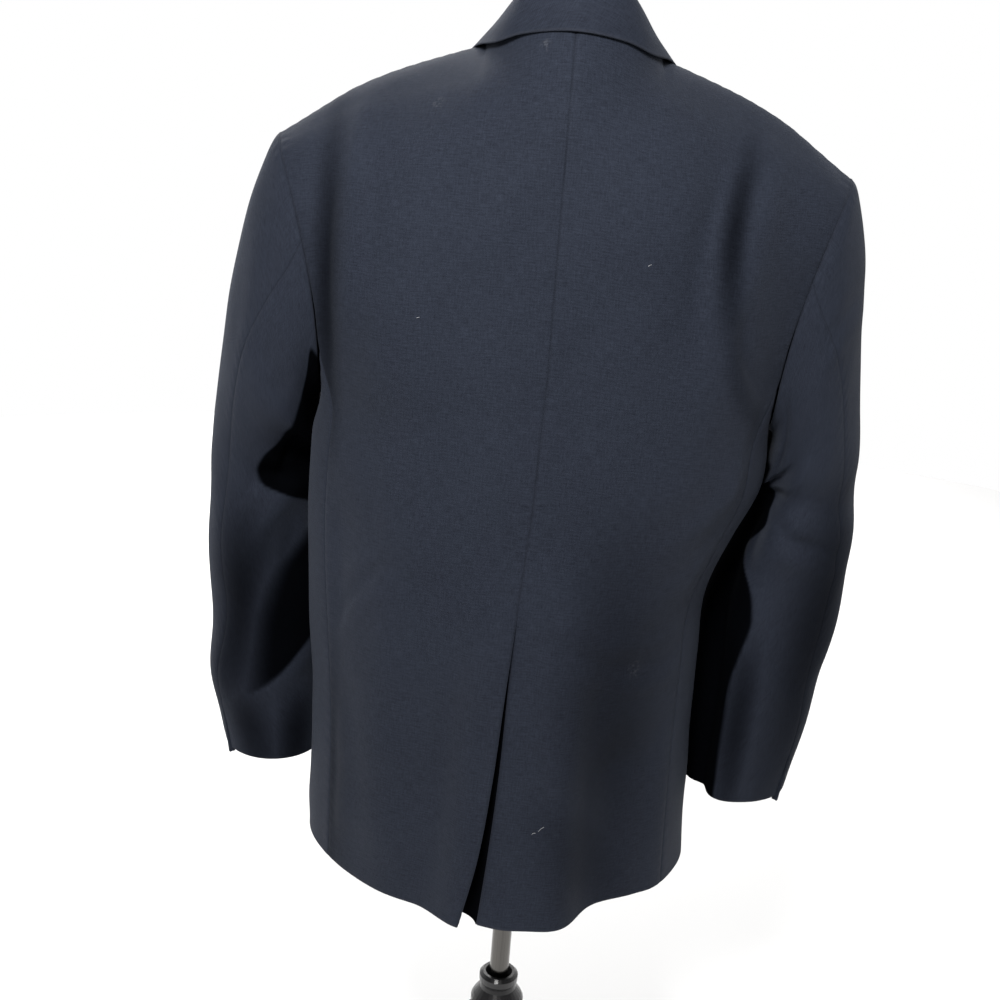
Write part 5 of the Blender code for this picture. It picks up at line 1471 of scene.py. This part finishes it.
class BLAZER_OT_stage(bpy.types.Operator):
    """Floor, light and camera"""
    bl_idname = "blazer.stage"
    bl_label = "Stage"

    def execute(self, context):
        scene = context.scene
        self.floor()
        self.world(scene)
        for name, place, aim, size, watts, colour in LIGHTS:
            lamp = bpy.data.lights.new(name, "AREA")
            lamp.shape = "DISK"
            lamp.size = size
            lamp.energy = watts
            lamp.color = colour
            holder = bpy.data.objects.new(name, lamp)
            scene.collection.objects.link(holder)
            holder.location = place
            holder.visible_camera = False
            way = Vector(aim) - Vector(place)
            holder.rotation_euler = way.to_track_quat("-Z", "Y").to_euler()
        self.camera(scene)
        scene.view_settings.view_transform = "Standard"
        return {"FINISHED"}

    def floor(self):
        """A round floor of rings about the pole."""
        ring, angle = np.linspace(0.0, FLOOR_RADIUS, 12)[1:, None], turns(96)
        ring[0] *= 0.01
        x, y = ring * np.cos(angle), ring * np.sin(angle)
        index = np.arange(x.size).reshape(x.shape)
        after = np.roll(index, -1, axis=1)
        quads = np.stack([index[:-1], index[1:], after[1:], after[:-1]], axis=-1).reshape(-1, 4)
        mesh_object("floor", np.stack([x, y, np.zeros_like(x)], axis=-1),
                             np.concatenate([quads, cap(index[0])]), made("floor", floor_recipe),
                             closed=False)

    def world(self, scene):
        """A studio that is bright behind the blazer and dim behind the camera."""
        world = bpy.data.worlds.new("studio")
        scene.world = world
        world.use_nodes = True
        nodes, links = world.node_tree.nodes, world.node_tree.links
        axes, ramp = nodes.new("ShaderNodeSeparateXYZ"), nodes.new("ShaderNodeMapRange")
        ramp.interpolation_type = "SMOOTHSTEP"
        for socket, value in zip(("From Min", "From Max", "To Min", "To Max"),
                                 (*WORLD_TURN, WORLD_BRIGHT, WORLD_DIM)):
            ramp.inputs[socket].default_value = value
        links.new(nodes.new("ShaderNodeTexCoord").outputs["Generated"], axes.inputs[0])
        links.new(axes.outputs["Y"], ramp.inputs["Value"])
        links.new(ramp.outputs[0], nodes["Background"].inputs["Strength"])
        nodes["Background"].inputs["Color"].default_value = (1.0, 1.0, 1.0, 1.0)

    def camera(self, scene):
        """The camera looks along -Y, pitched down, rolled, and shifted to frame the jacket."""
        look = scene.blazer_stage
        fwd = np.array([0.0, -math.cos(look.pitch), -math.sin(look.pitch)])
        right = np.array([-1.0, 0.0, 0.0])
        up = np.cross(right, fwd)
        turn = Matrix((right, up, -fwd)).transposed() @ Matrix.Rotation(look.roll, 3, "Z")
        place = (AXIS_X, AXIS_Y + look.distance, HEM + look.height)
        lens = bpy.data.cameras.new("camera")
        lens.lens = look.lens
        lens.sensor_width = 36.0
        lens.shift_x = look.shift * math.cos(look.roll)
        lens.shift_y = look.shift * math.sin(look.roll)
        camera = bpy.data.objects.new("camera", lens)
        camera.matrix_world = Matrix.Translation(place) @ turn.to_4x4()
        scene.collection.objects.link(camera)
        scene.camera = camera


class BLAZER_PT_panel(bpy.types.Panel):
    """Lists the settings and the pieces"""
    bl_idname = "BLAZER_PT_panel"
    bl_label = "Blazer"
    bl_space_type = "VIEW_3D"
    bl_region_type = "UI"
    bl_category = "Blazer"

    def draw(self, context):
        for group in (context.scene.blazer_cloth, context.scene.blazer_stage):
            for name in group.bl_rna.properties.keys():
                if name not in ("rna_type", "name"):
                    self.layout.prop(group, name)
        for operator in OPERATORS:
            self.layout.operator(operator.bl_idname)


OPERATORS = (BLAZER_OT_backs, BLAZER_OT_sides, BLAZER_OT_fronts, BLAZER_OT_collar,
             BLAZER_OT_sleeves, BLAZER_OT_buttons, BLAZER_OT_lint, BLAZER_OT_form,
             BLAZER_OT_stand, BLAZER_OT_stage)
CLASSES = (BlazerCloth, BlazerStage, *OPERATORS, BLAZER_PT_panel)


def register():
    for entry in CLASSES:
        bpy.utils.register_class(entry)
    bpy.types.Scene.blazer_cloth = bpy.props.PointerProperty(type=BlazerCloth)
    bpy.types.Scene.blazer_stage = bpy.props.PointerProperty(type=BlazerStage)


def unregister():
    del bpy.types.Scene.blazer_stage
    del bpy.types.Scene.blazer_cloth
    for entry in reversed(CLASSES):
        bpy.utils.unregister_class(entry)


def main():
    register()
    for operator in OPERATORS:
        group, name = operator.bl_idname.split(".")
        getattr(getattr(bpy.ops, group), name)()


if __name__ == "__main__":
    main()
